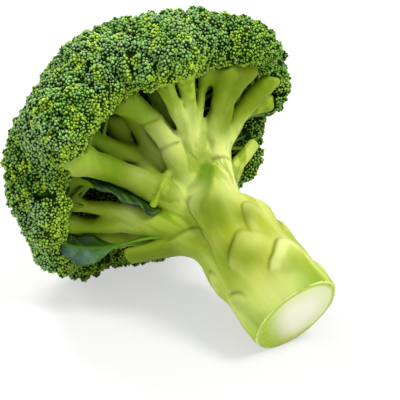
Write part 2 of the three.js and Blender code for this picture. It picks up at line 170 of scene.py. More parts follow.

# Edges of the trimmed leaf bases: how deep the stalk drops above the edge, how far it swells below
# it, how wide and how pale the slope up to that swelling is, and the edge's route as azimuth, height
# and how marked the edge is there. The swelling is on the right of the route.
# The slopes' paleness is partly pale scar tissue and partly a painted highlight on the raised slope.
LEAF_EDGES = [
    (1.5, 1.0, 5, 0.8, [(324, 13, 0), (332, 17, 0.9), (342, 19.5, 1), (353, 23.5, 1), (362, 25, 0.8),
                        (370, 23.5, 0.6), (378, 20, 0.5), (384, 14, 0)]),
    (2.2, 1.1, 4, 0.3, [(288, 23, 0), (293, 29, 0.4), (305, 32.5, 0.9), (317, 35.5, 1), (326, 37, 0.8),
                        (336, 36, 0.35), (346, 32, 0.3), (354, 27, 0)]),
    (1.6, 1.0, 4, 0.4, [(338, 31, 0), (342, 38, 0.7), (347, 44, 1), (354, 47.5, 0.8), (363, 46, 0.6),
                        (372, 42, 0.4), (380, 36, 0)]),
    (1.5, 0.9, 2, 0.3, [(269, 19, 0), (273, 29, 0.25), (281, 37, 0.4), (287, 43, 0.7), (289, 50, 1),
                        (292, 58, 1), (299, 62.5, 1), (303, 66, 0)]),
    (1.0, 1.3, 2, 0.7, [(292, 61, 0), (299, 63, 0.7), (308, 63, 0.7), (317, 61, 0.4), (326, 59, 0)]),
    (1.3, 0.8, 3, 0.3, [(246, 57, 0), (260, 57, 0.8), (272, 55.5, 1), (284, 53, 1), (292, 48, 0.7),
                        (289, 41, 0)]),
    (0.9, 0.5, 3, 0.3, [(262, 20, 0), (268, 19.5, 0.8), (276, 18, 1), (283, 15, 0.8), (286, 11, 0)]),
    (1.4, 1.0, 5, 0.5, [(226, 28, 0), (233, 34, 0.8), (243, 37.5, 1), (253, 36, 0.8), (261, 31, 0)]),
    (1.3, 0.9, 6, 0.6, [(172, 22, 0), (180, 29, 0.8), (192, 32, 1), (205, 30, 1), (214, 24, 0.7),
                        (220, 17, 0)]),
    (1.5, 0.9, 6, 0.5, [(136, 44, 0), (144, 50, 0.8), (156, 53, 1), (170, 52, 0.8), (180, 46, 0)]),
    (1.4, 1.0, 7, 0.8, [(84, 16, 0), (92, 24, 0.8), (104, 28, 1), (118, 28, 1), (130, 23, 0.7),
                        (138, 15, 0)]),
    (1.4, 0.9, 5, 0.5, [(32, 30, 0), (42, 37, 0.8), (54, 40, 1), (68, 39, 0.9), (80, 33, 0.6),
                        (88, 26, 0)]),
    (1.0, 0.7, 4, 0.4, [(36, 8, 0), (46, 13, 0.7), (58, 15, 1), (70, 13, 0.7), (80, 7, 0)]),
]
SCAR_INSET, SCAR_WIDTH = 0.4, 0.6  # an edge's dark line, which lies a little to the left of its route

# Cracks across branches, and creases along the valleys between limbs, as azimuth, reach and height.
CRACKS = [
    [(315, 38, 94), (318, 42, 92), (321, 42.5, 91), (324, 42, 90.5), (327, 41, 91)],
    [(313, 27, 86), (316, 30.4, 84.6), (319, 31.5, 83.3), (322, 32, 82.6), (326, 31.8, 82.4),
     (331, 30, 82.8)],
    [(351, 18.5, 75), (354, 19.6, 74.6), (360, 20, 74.3), (366, 21.4, 73.4), (373, 22.4, 72.3),
     (380, 22, 71.5)],
    [(266, 36, 81.5), (264.5, 37.5, 80.5), (262, 38.6, 78.2), (259, 38.8, 76)],
]
CREASES = [
    [(331, 38.5, 90.4), (332, 34.4, 87.8), (334, 31.4, 84.5), (335, 27.9, 82.1), (335, 24.3, 79.4)],
    [(339, 45.3, 88.3), (338, 41, 86.3), (338, 36, 84.7), (338, 30.9, 83)],
    [(349, 42.9, 88.7), (347, 37.7, 86.9), (346, 33.3, 84.4), (345, 28.5, 81.7), (345, 25.3, 79.6)],
    [(5, 35.7, 89.2), (2, 32.7, 87.7), (359, 29.8, 84.9), (357, 26.4, 82.5), (354, 23.8, 79.4),
     (352, 21, 76.3), (349, 20.8, 72)],
    [(17, 45.1, 86.4), (17, 39.8, 85.3), (16, 34.9, 83.8), (14, 30.6, 81.5)],
]
CRACK_DEPTH, CRACK_WIDTH = 0.8, 0.7
CREASE_DEPTH, CREASE_WIDTH = 2.0, 1.1
CREASE_SHADE = 0.8  # how much darker and greener a crease is painted, as painted shade in the valley

# Greener and paler patches of skin, as azimuth, reach, height, size and strength. They are partly the skin's
# own colours and partly painted shade and painted highlights.
GREEN_AND_SHADE_PATCHES = [
    (322, 24, 52, 8, 1.0), (316, 22, 44, 6, 0.5), (316, 22, 24, 6, 0.8), (304, 21, 33, 5, 0.9),
    (352, 22, 11, 5, 0.6), (345, 21, 42, 4, 0.9), (262, 19, 47, 6, 0.6), (60, 21, 25, 8, 0.8),
    (200, 21, 40, 8, 0.8), (120, 21, 34, 7, 0.8), (263, 42, 80, 12, 0.35), (294, 38, 82, 9, 0.6),
    (288, 24, 76, 9, 0.5), (252, 48, 84, 10, 0.4), (14, 46, 92, 12, 1.0), (24, 34, 92, 9, 0.9),
    (36, 46, 91, 9, 0.5), (243, 38, 64, 14, 1.0), (292, 28, 94, 14, 0.9), (325, 30, 92, 7, 0.5),
    (318, 24, 76, 7, 0.5), (12, 28, 84, 6, 0.4), (9, 42, 89, 8, 0.9), (14, 30, 82, 6, 0.5),
    (289, 40, 92, 7, 0.8), (16, 55, 90, 14, 1.0), (250, 28, 58, 10, 0.9), (36, 56, 90, 9, 0.6),
    (20, 52, 92, 10, 0.8), (28, 42, 90, 9, 0.6), (266, 46, 86, 10, 0.3),
]
# Paler patches: partly the skin's own colour, partly painted highlights.
PALE_AND_HIGHLIGHT_PATCHES = [
    (348, 30, 84, 8, 0.6), (318, 21, 4, 12, 0.7), (2, 22, 22, 7, 0.6), (350, 24, 55, 7, 0.7),
    (335, 22, 30, 5, 0.5), (20, 22, 74, 7, 0.5), (262, 20, 12, 9, 0.5), (342, 40, 89, 6, 0.4),
    (286, 60, 92, 8, 0.3), (320, 27, 85, 7, 0.6), (312, 21, 63.5, 6, 1.0), (325, 34, 90, 8, 0.6),
    (266, 34, 76, 7, 0.4), (290, 34, 84, 6, 0.3),
]

# The branches that face the front follow limbs of their own, as routes of azimuth, reach, height and radius.
FINE_LIMBS = {
    "branch_front": [
        [(322, 3, 52, 9), (319, 13, 71, 7), (320, 20, 78.5, 5.8), (323, 25, 83.5, 5.2),
         (325, 32, 88.5, 5.0), (324, 39, 93, 4.8), (321, 45, 97, 5.0), (318, 52, 101, 6.5)],
        [(316, 12, 78, 5), (305, 20, 89, 4.6), (309, 24, 93.5, 4.4), (313, 28, 98, 4.2),
         (315, 32, 103, 4.2), (316, 37, 108, 5)],
    ],
    "branch_front_left": [
        [(300, 6, 78, 6), (296, 15, 82.5, 6), (294, 22, 90, 5.2), (293, 30, 94.5, 4.6), (292, 40, 98, 4.4),
         (292, 50, 103, 5.5)],
    ],
    "branch_rim_front": [
        [(290, 5, 50, 9), (286, 15, 67, 7.8), (286, 27, 78.5, 6.2), (286, 38, 85.5, 5.3),
         (287, 50, 90.5, 5.8), (288, 61, 94, 8)],
        [(287, 22, 80, 5.2), (289, 24.5, 89, 4.8), (293, 27, 96.7, 3.8), (296, 29.5, 102.5, 3.8),
         (300, 32, 110, 5)],
    ],
    "branch_rim_left": [
        [(285, 5, 46, 9), (261, 18, 60, 7.4), (257, 30, 71, 6.1), (254, 38, 77, 4.5), (251, 45, 81.5, 3.6),
         (249, 50, 86, 3.5), (249, 57, 91.5, 5.2)],
        [(259, 28, 69, 5.4), (262, 34, 77, 4.1), (261, 40, 82.3, 3.4), (260, 46, 86.6, 3.2),
         (260, 51, 91, 3.6), (264, 56, 97, 5)],
    ],
    "branch_rim_upper": [
        [(345, 3, 58, 8), (347, 13, 75, 5.6), (346, 21, 81.5, 4.0), (341, 29, 84.5, 3.4),
         (338, 39, 88.5, 3.3), (337, 49, 94, 3.5), (337, 57, 99, 5)],
        [(347, 14, 76, 5.2), (348, 24, 84, 3.7), (348.5, 36, 89.5, 3.0), (347.5, 47, 93, 3.4),
         (347, 57, 96, 5.5)],
    ],
    "branch_crest": [
        [(350, 13, 77, 4.6), (355, 24, 84.5, 3.5), (358, 35, 91, 2.4), (361, 44, 95.5, 3.0),
         (364, 52, 99, 5.0)],
    ],
    "branch_rim_crest": [
        [(30, 4, 54, 8), (18, 14, 70, 5.8), (12, 23, 79.5, 4.2), (9, 33, 86.5, 3.3), (9, 43, 90.5, 3.4),
         (10, 53, 93.5, 5.5)],
        [(18, 14, 70, 5.4), (17, 24, 80.5, 3.9), (17, 34, 86, 3.4), (18, 44, 90, 3.8), (19, 54, 92.5, 6)],
    ],
    "branch_right_upper": [
        [(24, 15, 73, 4.8), (28, 22, 80.5, 4.2), (34, 31, 85.5, 4.2), (37, 40, 88.5, 4.3),
         (38, 50, 90.5, 4.7), (39, 60, 93, 5.5), (39, 67, 95.5, 6.5)],
        [(28, 18, 80, 4.2), (36, 28, 88, 3.4), (42, 36, 96, 3.4), (43, 42, 104, 4)],
    ],
    "branch_rim_right": [
        [(40, 26, 89, 3.0), (50, 33, 91.5, 2.4), (53, 41, 92.5, 2.4), (54, 49, 91.5, 4.5)],
    ],
}
FINE_FILLET = 1.0
FINE_ROOT_DEPTH = 6.0  # how far below their floret's underside the bud stalks of these branches begin

# Leaf stalks cut on a slant: a point on the cut, then the azimuth and the height that the cut faces.
SLANTED_CUTS = {
    "leaf_stub_front": ((330, 25, 59), 308, 0.5),
    "leaf_stub_small": ((288, 36, 65.1), 285, -0.9),
}

# Routes that thicken a leaf stalk before it is cut, as azimuth, reach, height and radius.
THICK_STUBS = {
    "leaf_stub_small": [
        [(305, 24, 77.5, 1.7), (299, 28.8, 73, 1.2), (294, 31.5, 70, 1.2), (291, 34, 67.4, 1.5),
         (288, 36.5, 64.8, 2.3)],
    ],
    "leaf_stub_front": [
        [(318, 13, 42, 8), (324, 14.5, 52, 10), (331, 14.5, 60, 10.2), (339, 15, 65.5, 9.8)],
    ],
}

# The small leaves: the midrib's route as azimuth, reach and height, the width of the blade on each
# side of it, how many degrees each side is folded up, how far along the stalk the blade opens, how
# high its edge waves, and each side's waxy bloom.
LEAVES = {
    "leaf_low": {
        "route": [(252, 18, 56), (256, 24, 59.5), (257, 30, 63.2), (253, 36, 66.5), (248, 42, 70.3),
                  (246, 50, 74.5), (247, 58, 79.5), (247, 62, 84.5), (246, 61, 91)],
        "near": 7.5, "far": 7, "fold_near": -70, "fold_far": 30, "opens": 0.5, "wave": 1.0,
        "bloom_near": 0.8, "bloom_far": 0.0,
    },
    "leaf_inner": {
        "route": [(266, 16, 70), (272, 25, 77), (276, 35, 84), (278, 45, 91), (278, 53, 97)],
        "near": 10, "far": 9, "fold_near": -12, "fold_far": 20, "opens": 0.05, "wave": 1.0,
        "bloom_near": 0.0, "bloom_far": 0.0,
    },
}
LEAF_COLUMNS = 13  # of corners across a leaf
LEAF_STALK_WIDTH = 3.6
LEAF_THICKNESS = (2.6, 1.0, 0.45)  # at the stalk's foot, where the blade opens and at the tip
LEAF_EDGE_THINNING = 0.45  # how much of that a leaf has lost at its edge
BLADE_OPENING, FOLD_OPENING = 0.18, 0.2  # the share of the length in which the blade and its fold grow
WAVE_TURNS, WAVE_SHIFT = 26, 2  # in radians, along the leaf and across it
RIBS, RIB_SLANT = 14, 1.6  # side veins along the leaf, and how many of them a slanting one crosses
VEIN_WIDTH = 0.9  # of the midrib
RIB_EDGE, RIB_PALENESS = 0.82, 0.55  # a higher edge makes thinner side veins


def paint(red, green, blue):
    """A colour from its screen values, 0 to 255, as Blender's linear colour."""
    shares = [value / 255 for value in (red, green, blue)]
    linear = [s / 12.92 if s <= 0.04045 else ((s + 0.055) / 1.055) ** 2.4 for s in shares]
    return (*linear, 1.0)


def smooth(value, low, high):
    """0 below low and 1 above high, with a smooth rise between them."""
    share = np.clip((value - low) / (high - low), 0, 1)
    return share * share * (3 - 2 * share)


def length(vectors):
    """The length of each vector."""
    return np.linalg.norm(vectors, axis=-1)


def unit(vectors):
    """Vectors of the same directions with a length of 1."""
    return vectors / np.maximum(length(vectors), TINY)[..., None]


def fade(distance, width):
    """1 at a distance of 0, 0.37 at the width and nearly 0 at twice the width."""
    return np.exp(-((distance / width) ** 2))


def ripple(points, wavelength, seed, waves=24):
    """A smooth random value at each point, mostly between -1.5 and 1.5."""
    draw = np.random.default_rng(seed)
    ways = unit(draw.normal(size=(waves, 3)))
    ways *= 2 * math.pi / wavelength * draw.uniform(0.6, 1.5, (waves, 1))
    starts = draw.uniform(0, 2 * math.pi, waves)
    return np.cos(points @ ways.T + starts).sum(axis=-1) / math.sqrt(waves / 2)


def curve_through(route, steps):
    """Points on a smooth curve through the points of a route, in steps from each one to the next."""
    route = np.asarray(route, float)
    before = np.vstack([2 * route[0] - route[1], route, 2 * route[-1] - route[-2]])
    points = []
    for i in range(len(route) - 1):
        a, b, c, d = before[i : i + 4]
        for t in np.arange(steps) / steps:
            points.append(0.5 * (2 * b + (c - a) * t + (2 * a - 5 * b + 4 * c - d) * t**2
                                 + (3 * b - a - 3 * c + d) * t**3))
    return np.array([*points, route[-1]])


# ------------------------------------------------------------------ shapes from the CAD nodes

def node_arrays(name):
    """A CAD node's corners in millimetres and its triangles."""
    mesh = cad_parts[name].data
    corners = np.empty(len(mesh.vertices) * 3)
    mesh.vertices.foreach_get("co", corners)
    mesh.calc_loop_triangles()
    faces = np.empty(len(mesh.loop_triangles) * 3, np.int32)
    mesh.loop_triangles.foreach_get("vertices", faces)
    return corners.reshape(-1, 3) / MM, faces.reshape(-1, 3)


def flat_end(name):
    """The middle of a node's largest flat face, and the direction that it faces."""
    corners, faces = node_arrays(name)
    a, b, c = (corners[faces[:, i]] for i in range(3))
    across = np.cross(b - a, c - a)
    area = length(across) / 2
    _, which = np.unique(np.round(unit(across), 2), axis=0, return_inverse=True)
    flat = which.ravel() == np.argmax(np.bincount(which.ravel(), area))
    middle = np.average((a + b + c)[flat] / 3, axis=0, weights=area[flat])
    return middle, unit(across[flat].sum(axis=0))


def head_frame():
    """The cut face's middle, and the head's own axes: x nearest to upright, z up the stalk."""
    middle, outwards = flat_end("stalk")
    upright = unit(np.array([0, 0, 1]) - outwards[2] * outwards)
    return middle, np.array([upright, np.cross(-outwards, upright), -outwards])


CUT_MIDDLE, AXES = head_frame()


def to_head(points):
    """Points in the head's own axes."""
    return (points - CUT_MIDDLE) @ AXES.T


def to_world(points):
    """Points given in the head's own axes."""
    return np.asarray(points) @ AXES + CUT_MIDDLE


def around(azimuth, reach, height):
    """Points from their azimuth in degrees, reach and height."""
    turn = np.radians(azimuth)
    return to_world(np.stack([reach * np.cos(turn), reach * np.sin(turn), height + 0 * turn], axis=-1))


def facing_side(head, azimuth):
    """1 for points in the head's axes that lie at an azimuth, and -1 for those on the other side."""
    return np.cos(np.arctan2(head[:, 1], head[:, 0]) - math.radians(azimuth))


def smooth_line(route, steps):
    """Points on a smooth curve through a route of azimuth, reach and height."""
    return curve_through(around(*np.array(route, float).T), steps)


NODES = sorted(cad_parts)
BRANCHES = [name for name in NODES if name.startswith("branch_")]
FLORETS = [name for name in NODES if name.startswith("floret_")]
STUBS = [name for name in NODES if name.startswith("leaf_stub_")]
APEX = to_world([0, 0, FAN_HEIGHT])
CUT_EDGE = 0.1  # the stalk's corners this near to the plane of its cut are on the cut
CUT_RADIUS = max(length(p[:2]) for p in to_head(node_arrays("stalk")[0]) if abs(p[2]) < CUT_EDGE)


def box_of(names):
    """The two corners of a box around some nodes."""
    corners = np.vstack([node_arrays(name)[0] for name in names])
    return corners.min(axis=0), corners.max(axis=0)


def limb_ends(name):
    """The ends of a branch's limbs, longest first, each with the way that its limb runs there."""
    corners = np.unique(np.round(node_arrays(name)[0], 2), axis=0)
    away = length(corners - APEX)
    ends = []
    for i in np.argsort(-away):
        if away[i] < away.max() - LIMB_END_DEPTH:
            break
        apart = length(corners - corners[i])
        others = [length(corners[i] - end) < LIMB_END_SPACING for end, _ in ends]
        if any(others) or away[i] < away[apart < LIMB_END_SPACING].max():
            continue
        end = corners[(apart < LIMB_END_SPACING) & (away > away[i] - LIMB_TIP)].mean(axis=0)
        lower = corners[away < away[i] - LIMB_BACK]
        behind = lower[np.argsort(length(lower - end))[:LIMB_CORNERS]]
        ends.append((end, unit(end - behind.mean(axis=0))))
    return ends


class Floret:
    """A floret's place, and the ends of its branch.

    underside is how far the floret's underside is from APEX. trumpets holds the start, end and radii of
    each trumpet that its branch widens into, and roots the places where its bud stalks begin.
    """

    def __init__(self, name):
        self.name = name
        self.branch = name.replace("floret_", "branch_")
        corners = node_arrays(name)[0]
        self.middle = (corners.min(axis=0) + corners.max(axis=0)) / 2
        self.facing = unit(self.middle - APEX)
        from_apex = corners - APEX
        along = from_apex @ self.facing
        self.half_width = np.percentile(length(from_apex - along[:, None] * self.facing), FLORET_WIDTH)
        thickness = THIN_FLORET if self.half_width < SMALL_FLORET else THICK_FLORET
        thickness = OWN_THICKNESS.get(name, thickness)
        self.underside = max(length(from_apex).max() - thickness, along.min())
        if self.branch in FINE_LIMBS:
            self.trumpets = []
            self.roots = [self.fine_root(limb) for limb in FINE_LIMBS[self.branch]]
        else:
            self.trumpets = self.trumpets_on(limb_ends(self.branch))
            self.roots = [trumpet[0] for trumpet in self.trumpets]

    def trumpets_on(self, ends):
        """The trumpets on a branch's limbs, from the limbs' ends and the ways that they run."""
        radius = TRUMPET_SPREAD * self.half_width / math.sqrt(len(ends))
        trumpets = []
        for end, way in ends:
            start = end - way * max(0, length(end - APEX) - self.underside + TRUMPET_LENGTH)
            tip = APEX + unit(end - APEX) * (self.underside + TRUMPET_OVERLAP)
            trumpets.append((start, tip, TRUMPET_TAPER * radius, radius))
        return trumpets

    def fine_root(self, limb):
        """The place on a fine limb that is FINE_ROOT_DEPTH below the underside."""
        line = smooth_line(np.array(limb)[:, :3], steps=6)
        depth = np.abs(length(line - APEX) - self.underside + FINE_ROOT_DEPTH)
        return line[np.argmin(depth)]


# ------------------------------------------------------------------ distance fields

class Field:
    """Signed distances to a surface in millimetres, on a regular grid in the world's frame."""

    def __init__(self, low, high, pitch, reach):
        self.pitch = pitch
        self.reach = reach
        self.start = np.floor((np.asarray(low) - reach) / pitch).astype(int)
        self.shape = tuple(np.ceil((np.asarray(high) + reach) / pitch).astype(int) - self.start + 1)
        self.everywhere = tuple(slice(0, count) for count in self.shape)
        self.values = np.full(self.shape, reach, np.float32)

    def window(self, low, high):
        """The part of the grid that holds a box, as slices and as the index of its first place."""
        first = np.floor(np.asarray(low) / self.pitch).astype(int)
        last = np.ceil(np.asarray(high) / self.pitch).astype(int) + 1
        first = np.maximum(first, self.start)
        last = np.minimum(last, self.start + self.shape)
        part = tuple(slice(a, b) for a, b in zip(first - self.start, last - self.start))
        return part, first

    def places(self, part):
        """The positions of the grid's places in a window."""
        rows = [
            (np.arange(cut.start, cut.stop) + start) * self.pitch
            for cut, start in zip(part, self.start)
        ]
        return np.stack(np.meshgrid(*rows, indexing="ij"), axis=-1).astype(np.float32)

    def chosen_places(self, chosen):
        """The positions of the places where an array is true."""
        return (np.argwhere(chosen) + self.start) * self.pitch

    def node_distance(self, corners, faces):
        """Distances to a closed mesh, in the window that it reaches."""
        part, first = self.window(corners.min(axis=0) - self.reach, corners.max(axis=0) + self.reach)
        grid = vdb.FloatGrid.createLevelSetFromPolygons(
            corners.astype(np.float32),
            triangles=faces.astype(np.uint32),
            transform=vdb.createLinearTransform(self.pitch),
            halfWidth=self.reach / self.pitch,
        )
        values = np.empty([cut.stop - cut.start for cut in part], np.float32)
        grid.copyToArray(values, ijk=tuple(int(i) for i in first))
        return part, values

    def cone_distance(self, start, end, start_radius, end_radius):
        """Distances to a cone with round ends, in the window that it reaches."""
        room = max(start_radius, end_radius) + self.reach
        part, _ = self.window(np.minimum(start, end) - room, np.maximum(start, end) + room)
        axis = end - start
        from_start = self.places(part) - start
        share = np.clip(from_start @ axis / (axis @ axis), 0, 1)
        radius = start_radius + (end_radius - start_radius) * share
        return part, length(from_start - share[..., None] * axis) - radius

    def limb_distance(self, route):
        """Distances to a round limb along a route of azimuth, reach, height and radius."""
        route = np.array(route, float)
        line = curve_through(np.column_stack([around(*route[:, :3].T), route[:, 3]]), steps=3)
        solid = np.full(self.shape, self.reach, np.float32)
        for start, end in zip(line[:-1], line[1:]):
            part, values = self.cone_distance(start[:3], end[:3], start[3], end[3])
            solid[part] = np.minimum(solid[part], values)
        return solid

    def grow(self, part, values, fillet):
        """Joins another surface to this one. The fillet fades out where both are far away."""
        own = self.values[part]
        near = np.maximum(fillet - np.abs(own - values), 0)
        near *= np.clip(2 - np.maximum(own, values) / fillet, 0, 1)
        self.values[part] = np.minimum(own, values) - near * near / (4 * fillet)

    def soften(self, spread):
        """Rounds edges off. spread is the blur's variance in square millimetres."""
        passes = max(1, math.ceil(2 * spread / self.pitch**2))
        share = min(1.0, 2 * spread / self.pitch**2 / passes) / 4
        for _ in range(passes):
            for axis in range(3):
                beside = np.roll(self.values, 1, axis) + np.roll(self.values, -1, axis)
                self.values = (1 - 2 * share) * self.values + share * beside

    def sample(self, points):
        """The field's values at points between its places."""
        spots = points / self.pitch - self.start
        spots = np.clip(spots, 0, np.array(self.shape) - 1.001)
        base = spots.astype(int)
        share = spots - base
        total = 0
        for corner in np.ndindex(2, 2, 2):
            weight = np.prod(np.where(corner, share, 1 - share), axis=1)
            total = total + weight * self.values[tuple((base + corner).T)]
        return total

    def mesh(self):
        """The closed surface where the values are zero, as corners and quads facing out."""
        return closed_surface(self, self.values)


def closed_surface(field, values):
    """The closed surface where values on a field's grid are zero, as corners and quads facing out."""
    grid = vdb.FloatGrid(field.reach)
    grid.transform = vdb.createLinearTransform(field.pitch)
    start = tuple(int(i) for i in field.start)
    grid.copyFromArray(np.ascontiguousarray(values, np.float32), ijk=start)
    corners, _, quads = grid.convertToPolygons(isovalue=0, adaptivity=0)
    return biggest_part(corners.astype(float), quads.astype(int))


def round_max(first, second, rounding):
    """The larger of two fields, rounded where they cross."""
    near = np.maximum(rounding - np.abs(first - second), 0)
    return np.maximum(first, second) + near * near / (4 * rounding)


def biggest_part(corners, quads):
    """The largest connected body of a mesh."""
    body = np.arange(len(corners))
    while True:
        least = body[quads].min(axis=1)
        joined = body.copy()
        for i in range(4):
            np.minimum.at(joined, quads[:, i], least)
        joined = joined[joined]
        if np.array_equal(joined, body):
            break
        body = joined
    keep = body == np.argmax(np.bincount(body))
    fresh = np.cumsum(keep) - 1
    return corners[keep], fresh[quads[keep[quads[:, 0]]]]


def vertex_normals(corners, quads):
    """The direction that a mesh faces at each of its corners."""
    a, b, c, d = (corners[quads[:, i]] for i in range(4))
    across = np.cross(c - a, d - b)
    normals = np.zeros_like(corners)
    for i in range(4):
        np.add.at(normals, quads[:, i], across)
    return unit(normals)


# ------------------------------------------------------------------ meshes and attributes

def make_piece(name, corners, faces, materials, attributes=(), which=None):
    """A mesh object from positions in millimetres, with named values on its vertices.

    which gives each face's number in the list of materials.
    """
    mesh = bpy.data.meshes.new(name)
    raised = np.array(corners, float)
    raised[:, 2] = np.maximum(raised[:, 2], FLOOR_CLEARANCE)
    mesh.from_pydata((raised * MM).tolist(), [], [list(face) for face in faces])
    for label, values in dict(attributes).items():
        vector = values.ndim == 2
        layer = mesh.attributes.new(label, "FLOAT_VECTOR" if vector else "FLOAT", "POINT")
        layer.data.foreach_set("vector" if vector else "value", values.astype(np.float32).ravel())
    for material in materials:
        mesh.materials.append(material)
    if which is not None:
        mesh.polygons.foreach_set("material_index", np.asarray(which, np.int32))
    mesh.shade_smooth()
    piece = bpy.data.objects.new(name, mesh)
    bpy.context.scene.collection.objects.link(piece)
    return piece


def spread_points(points, spacing, seed):
    """Indices of points picked in random order so that no two are nearer than the spacing."""
    order = np.random.default_rng(seed).permutation(len(points))
    cells = {}
    picked = []
    for i in order:
        x, y, z = np.floor(points[i] / spacing).astype(int)
        beside = [cells.get((x + a - 1, y + b - 1, z + c - 1), ()) for a, b, c in np.ndindex(3, 3, 3)]
        others = [j for cell in beside for j in cell]
        if not others or length(points[others] - points[i]).min() >= spacing:
            cells.setdefault((x, y, z), []).append(i)
            picked.append(i)
    return np.array(picked)


def two_nearest(points, sites):
    """The distances from each point to its nearest site and to the next."""
    tree = kdtree.KDTree(len(sites))
    for i, site in enumerate(sites):
        tree.insert(site, i)
    tree.balance()
    distances = [[distance for _, _, distance in tree.find_n(point, 2)] for point in points]
    return np.array(distances).T


def thin_limb(route, radii, sides):
    """A closed tapering rod along a route, as corners and faces."""
    route = np.asarray(route, float)
    along = unit(np.gradient(route, axis=0))
    start = unit(np.cross(along[0], ROD_START))
    corners = []
    for middle, way, radius in zip(route, along, radii):
        side = unit(start - (start @ way) * way)
        up = np.cross(way, side)
        for i in range(sides):
            turn = 2 * math.pi * i / sides
            corners.append(middle + radius * (math.cos(turn) * side + math.sin(turn) * up))
    faces = [tuple(reversed(range(sides)))]
    for ring in range(len(route) - 1):
        for i in range(sides):
            a, b = ring * sides + i, ring * sides + (i + 1) % sides
            faces.append((a, b, b + sides, a + sides))
    faces.append(tuple(range((len(route) - 1) * sides, len(route) * sides)))
    return np.array(corners), faces


# ------------------------------------------------------------------ materials

def feed(tree, socket, value):
    """Gives a node's socket a plain value, or links another node's output to it."""
    if isinstance(value, bpy.types.NodeSocket):
        tree.links.new(value, socket)
    else:
        socket.default_value = value


def add_node(tree, kind, values=(), **settings):
    """Adds a node. values maps its sockets to plain values or to other nodes' outputs."""
    made = tree.nodes.new(kind)
    for setting, value in settings.items():
        setattr(made, setting, value)
    for socket, value in dict(values).items():
        feed(tree, made.inputs[socket], value)
    return made


class Shader:
    """A material with one Principled shader and short calls for its nodes."""

    def __init__(self, name, roughness, **settings):
        self.material = bpy.data.materials.new(name)
        self.material.use_nodes = True
        self.tree = self.material.node_tree
        self.surface = self.tree.nodes["Principled BSDF"]
        self.surface.inputs["Roughness"].default_value = roughness
        for socket, value in settings.items():
            self.surface.inputs[socket.replace("_", " ")].default_value = value

    def node(self, kind, output=0, values=(), **settings):
        """Adds a node and gives one of its outputs."""
        return add_node(self.tree, "ShaderNode" + kind, values, **settings).outputs[output]

    def attribute(self, name, output="Fac"):
        """A named value of the mesh."""
        return self.node("Attribute", output, attribute_name=name)

    def noise(self, where, scale, detail=2.0):
        """Cloudy values between 0 and 1, with scale clouds to each unit of where."""
        return self.node("TexNoise", "Fac", {"Vector": where, "Scale": scale, "Detail": detail})

    def ramp(self, value, low, high, bottom=0.0, top=1.0):
        """Maps a value from low..high to bottom..top with a smooth rise."""
        values = {"Value": value, "From Min": low, "From Max": high, "To Min": bottom, "To Max": top}
        return self.node("MapRange", "Result", values, interpolation_type="SMOOTHSTEP")

    def math(self, operation, *operands):
        """A sum, product or other operation on values."""
        return self.node("Math", 0, enumerate(operands), operation=operation)

    def mix(self, share, first, second):
        """The first colour where the share is 0 and the second where it is 1."""
        made = add_node(self.tree, "ShaderNodeMix", {0: share}, data_type="RGBA")
        colours = [socket for socket in made.inputs if socket.type == "RGBA"]
        feed(self.tree, colours[0], first)
        feed(self.tree, colours[1], second)
        return next(socket for socket in made.outputs if socket.type == "RGBA")

    def coat(self, colour, where, over, strength=None):
        """A colour with another one laid over it where a value is high."""
        share = where if strength is None else self.math("MULTIPLY", where, strength)
        return self.mix(share, colour, over)

    def bump(self, height, strength, distance):
        """A normal that makes the surface look as uneven as a value."""
        return self.node("Bump", 0, {"Height": height, "Strength": strength, "Distance": distance})

    def finish(self, colour, roughness=None, normal=None):
        """Gives the shader its colour, roughness and bumps, and returns the material."""
        for label, value in (("Base Color", colour), ("Roughness", roughness), ("Normal", normal)):
            if value is not None:
                feed(self.tree, self.surface.inputs[label], value)
        return self.material


def skin_colour(skin, grain):
    """Pale green skin, greener at the branches' ends, with lengthwise bands, patches and scars. Painted shade
    darkens its lower side, creases, hollows and the ends under the crown; painted highlights lighten pale
    patches and slopes.
    """
    branch = skin.attribute("branch")
    end = skin.attribute("end")
    light = skin.mix(branch, paint(222, 228, 122), paint(212, 222, 126))
    green = skin.mix(branch, paint(166, 178, 44), paint(174, 190, 60))
    # Painted shade: the skin on the lower side is darker and yellower.
    light = skin.coat(light, skin.attribute("dull"), paint(182, 202, 70), 0.8)
    green = skin.coat(green, skin.attribute("dull"), paint(140, 168, 16), 0.8)
    # Towards the crown the skin turns greener and darker: partly the branches' own colour, partly painted
    # shade under the crown.
    light = skin.coat(light, end, paint(168, 194, 54))
    green = skin.coat(green, end, paint(104, 140, 4))
    patches = skin.ramp(skin.noise(grain, 0.075, 3.0), 0.38, 0.66)
    colour = skin.coat(light, patches, green)
    bands = skin.ramp(skin.noise(grain, 0.42, 3.0), 0.47, 0.58)
    bands = skin.math("MULTIPLY", bands, skin.ramp(branch, 0.0, 1.0, 0.1, 0.85))
    colour = skin.coat(colour, bands, paint(124, 150, 8))
    lines = skin.ramp(skin.noise(grain, 0.7, 3.0), 0.38, 0.72)
    colour = skin.coat(colour, lines, paint(146, 170, 40), 0.02)
    flecks = skin.ramp(skin.noise(grain, 1.1, 2.0), 0.5, 0.8)
    colour = skin.coat(colour, flecks, paint(226, 234, 170), 0.03)
    # Pale slopes below the leaf edges: partly scar tissue, partly painted highlight.
    colour = skin.coat(colour, skin.attribute("slope"), paint(228, 236, 164), 0.6)
    # Darker green patches: partly the skin's own colour, partly painted shade.
    colour = skin.coat(colour, skin.attribute("patch"), paint(108, 132, 2), 0.9)
    colour = skin.coat(colour, skin.attribute("tip"), paint(104, 148, 12), 0.85)
    # Paler patches: partly the skin's own colour, partly painted highlights.
    colour = skin.coat(colour, skin.attribute("pale"), paint(224, 232, 140), 0.8)
    # Painted shade: the skin turns a deep green in the hollows between branches.
    colour = skin.coat(colour, skin.ramp(skin.attribute("deep"), 0.25, 0.8), paint(92, 124, 6))
    return skin.coat(colour, skin.attribute("scar"), paint(104, 112, 10), 0.8)


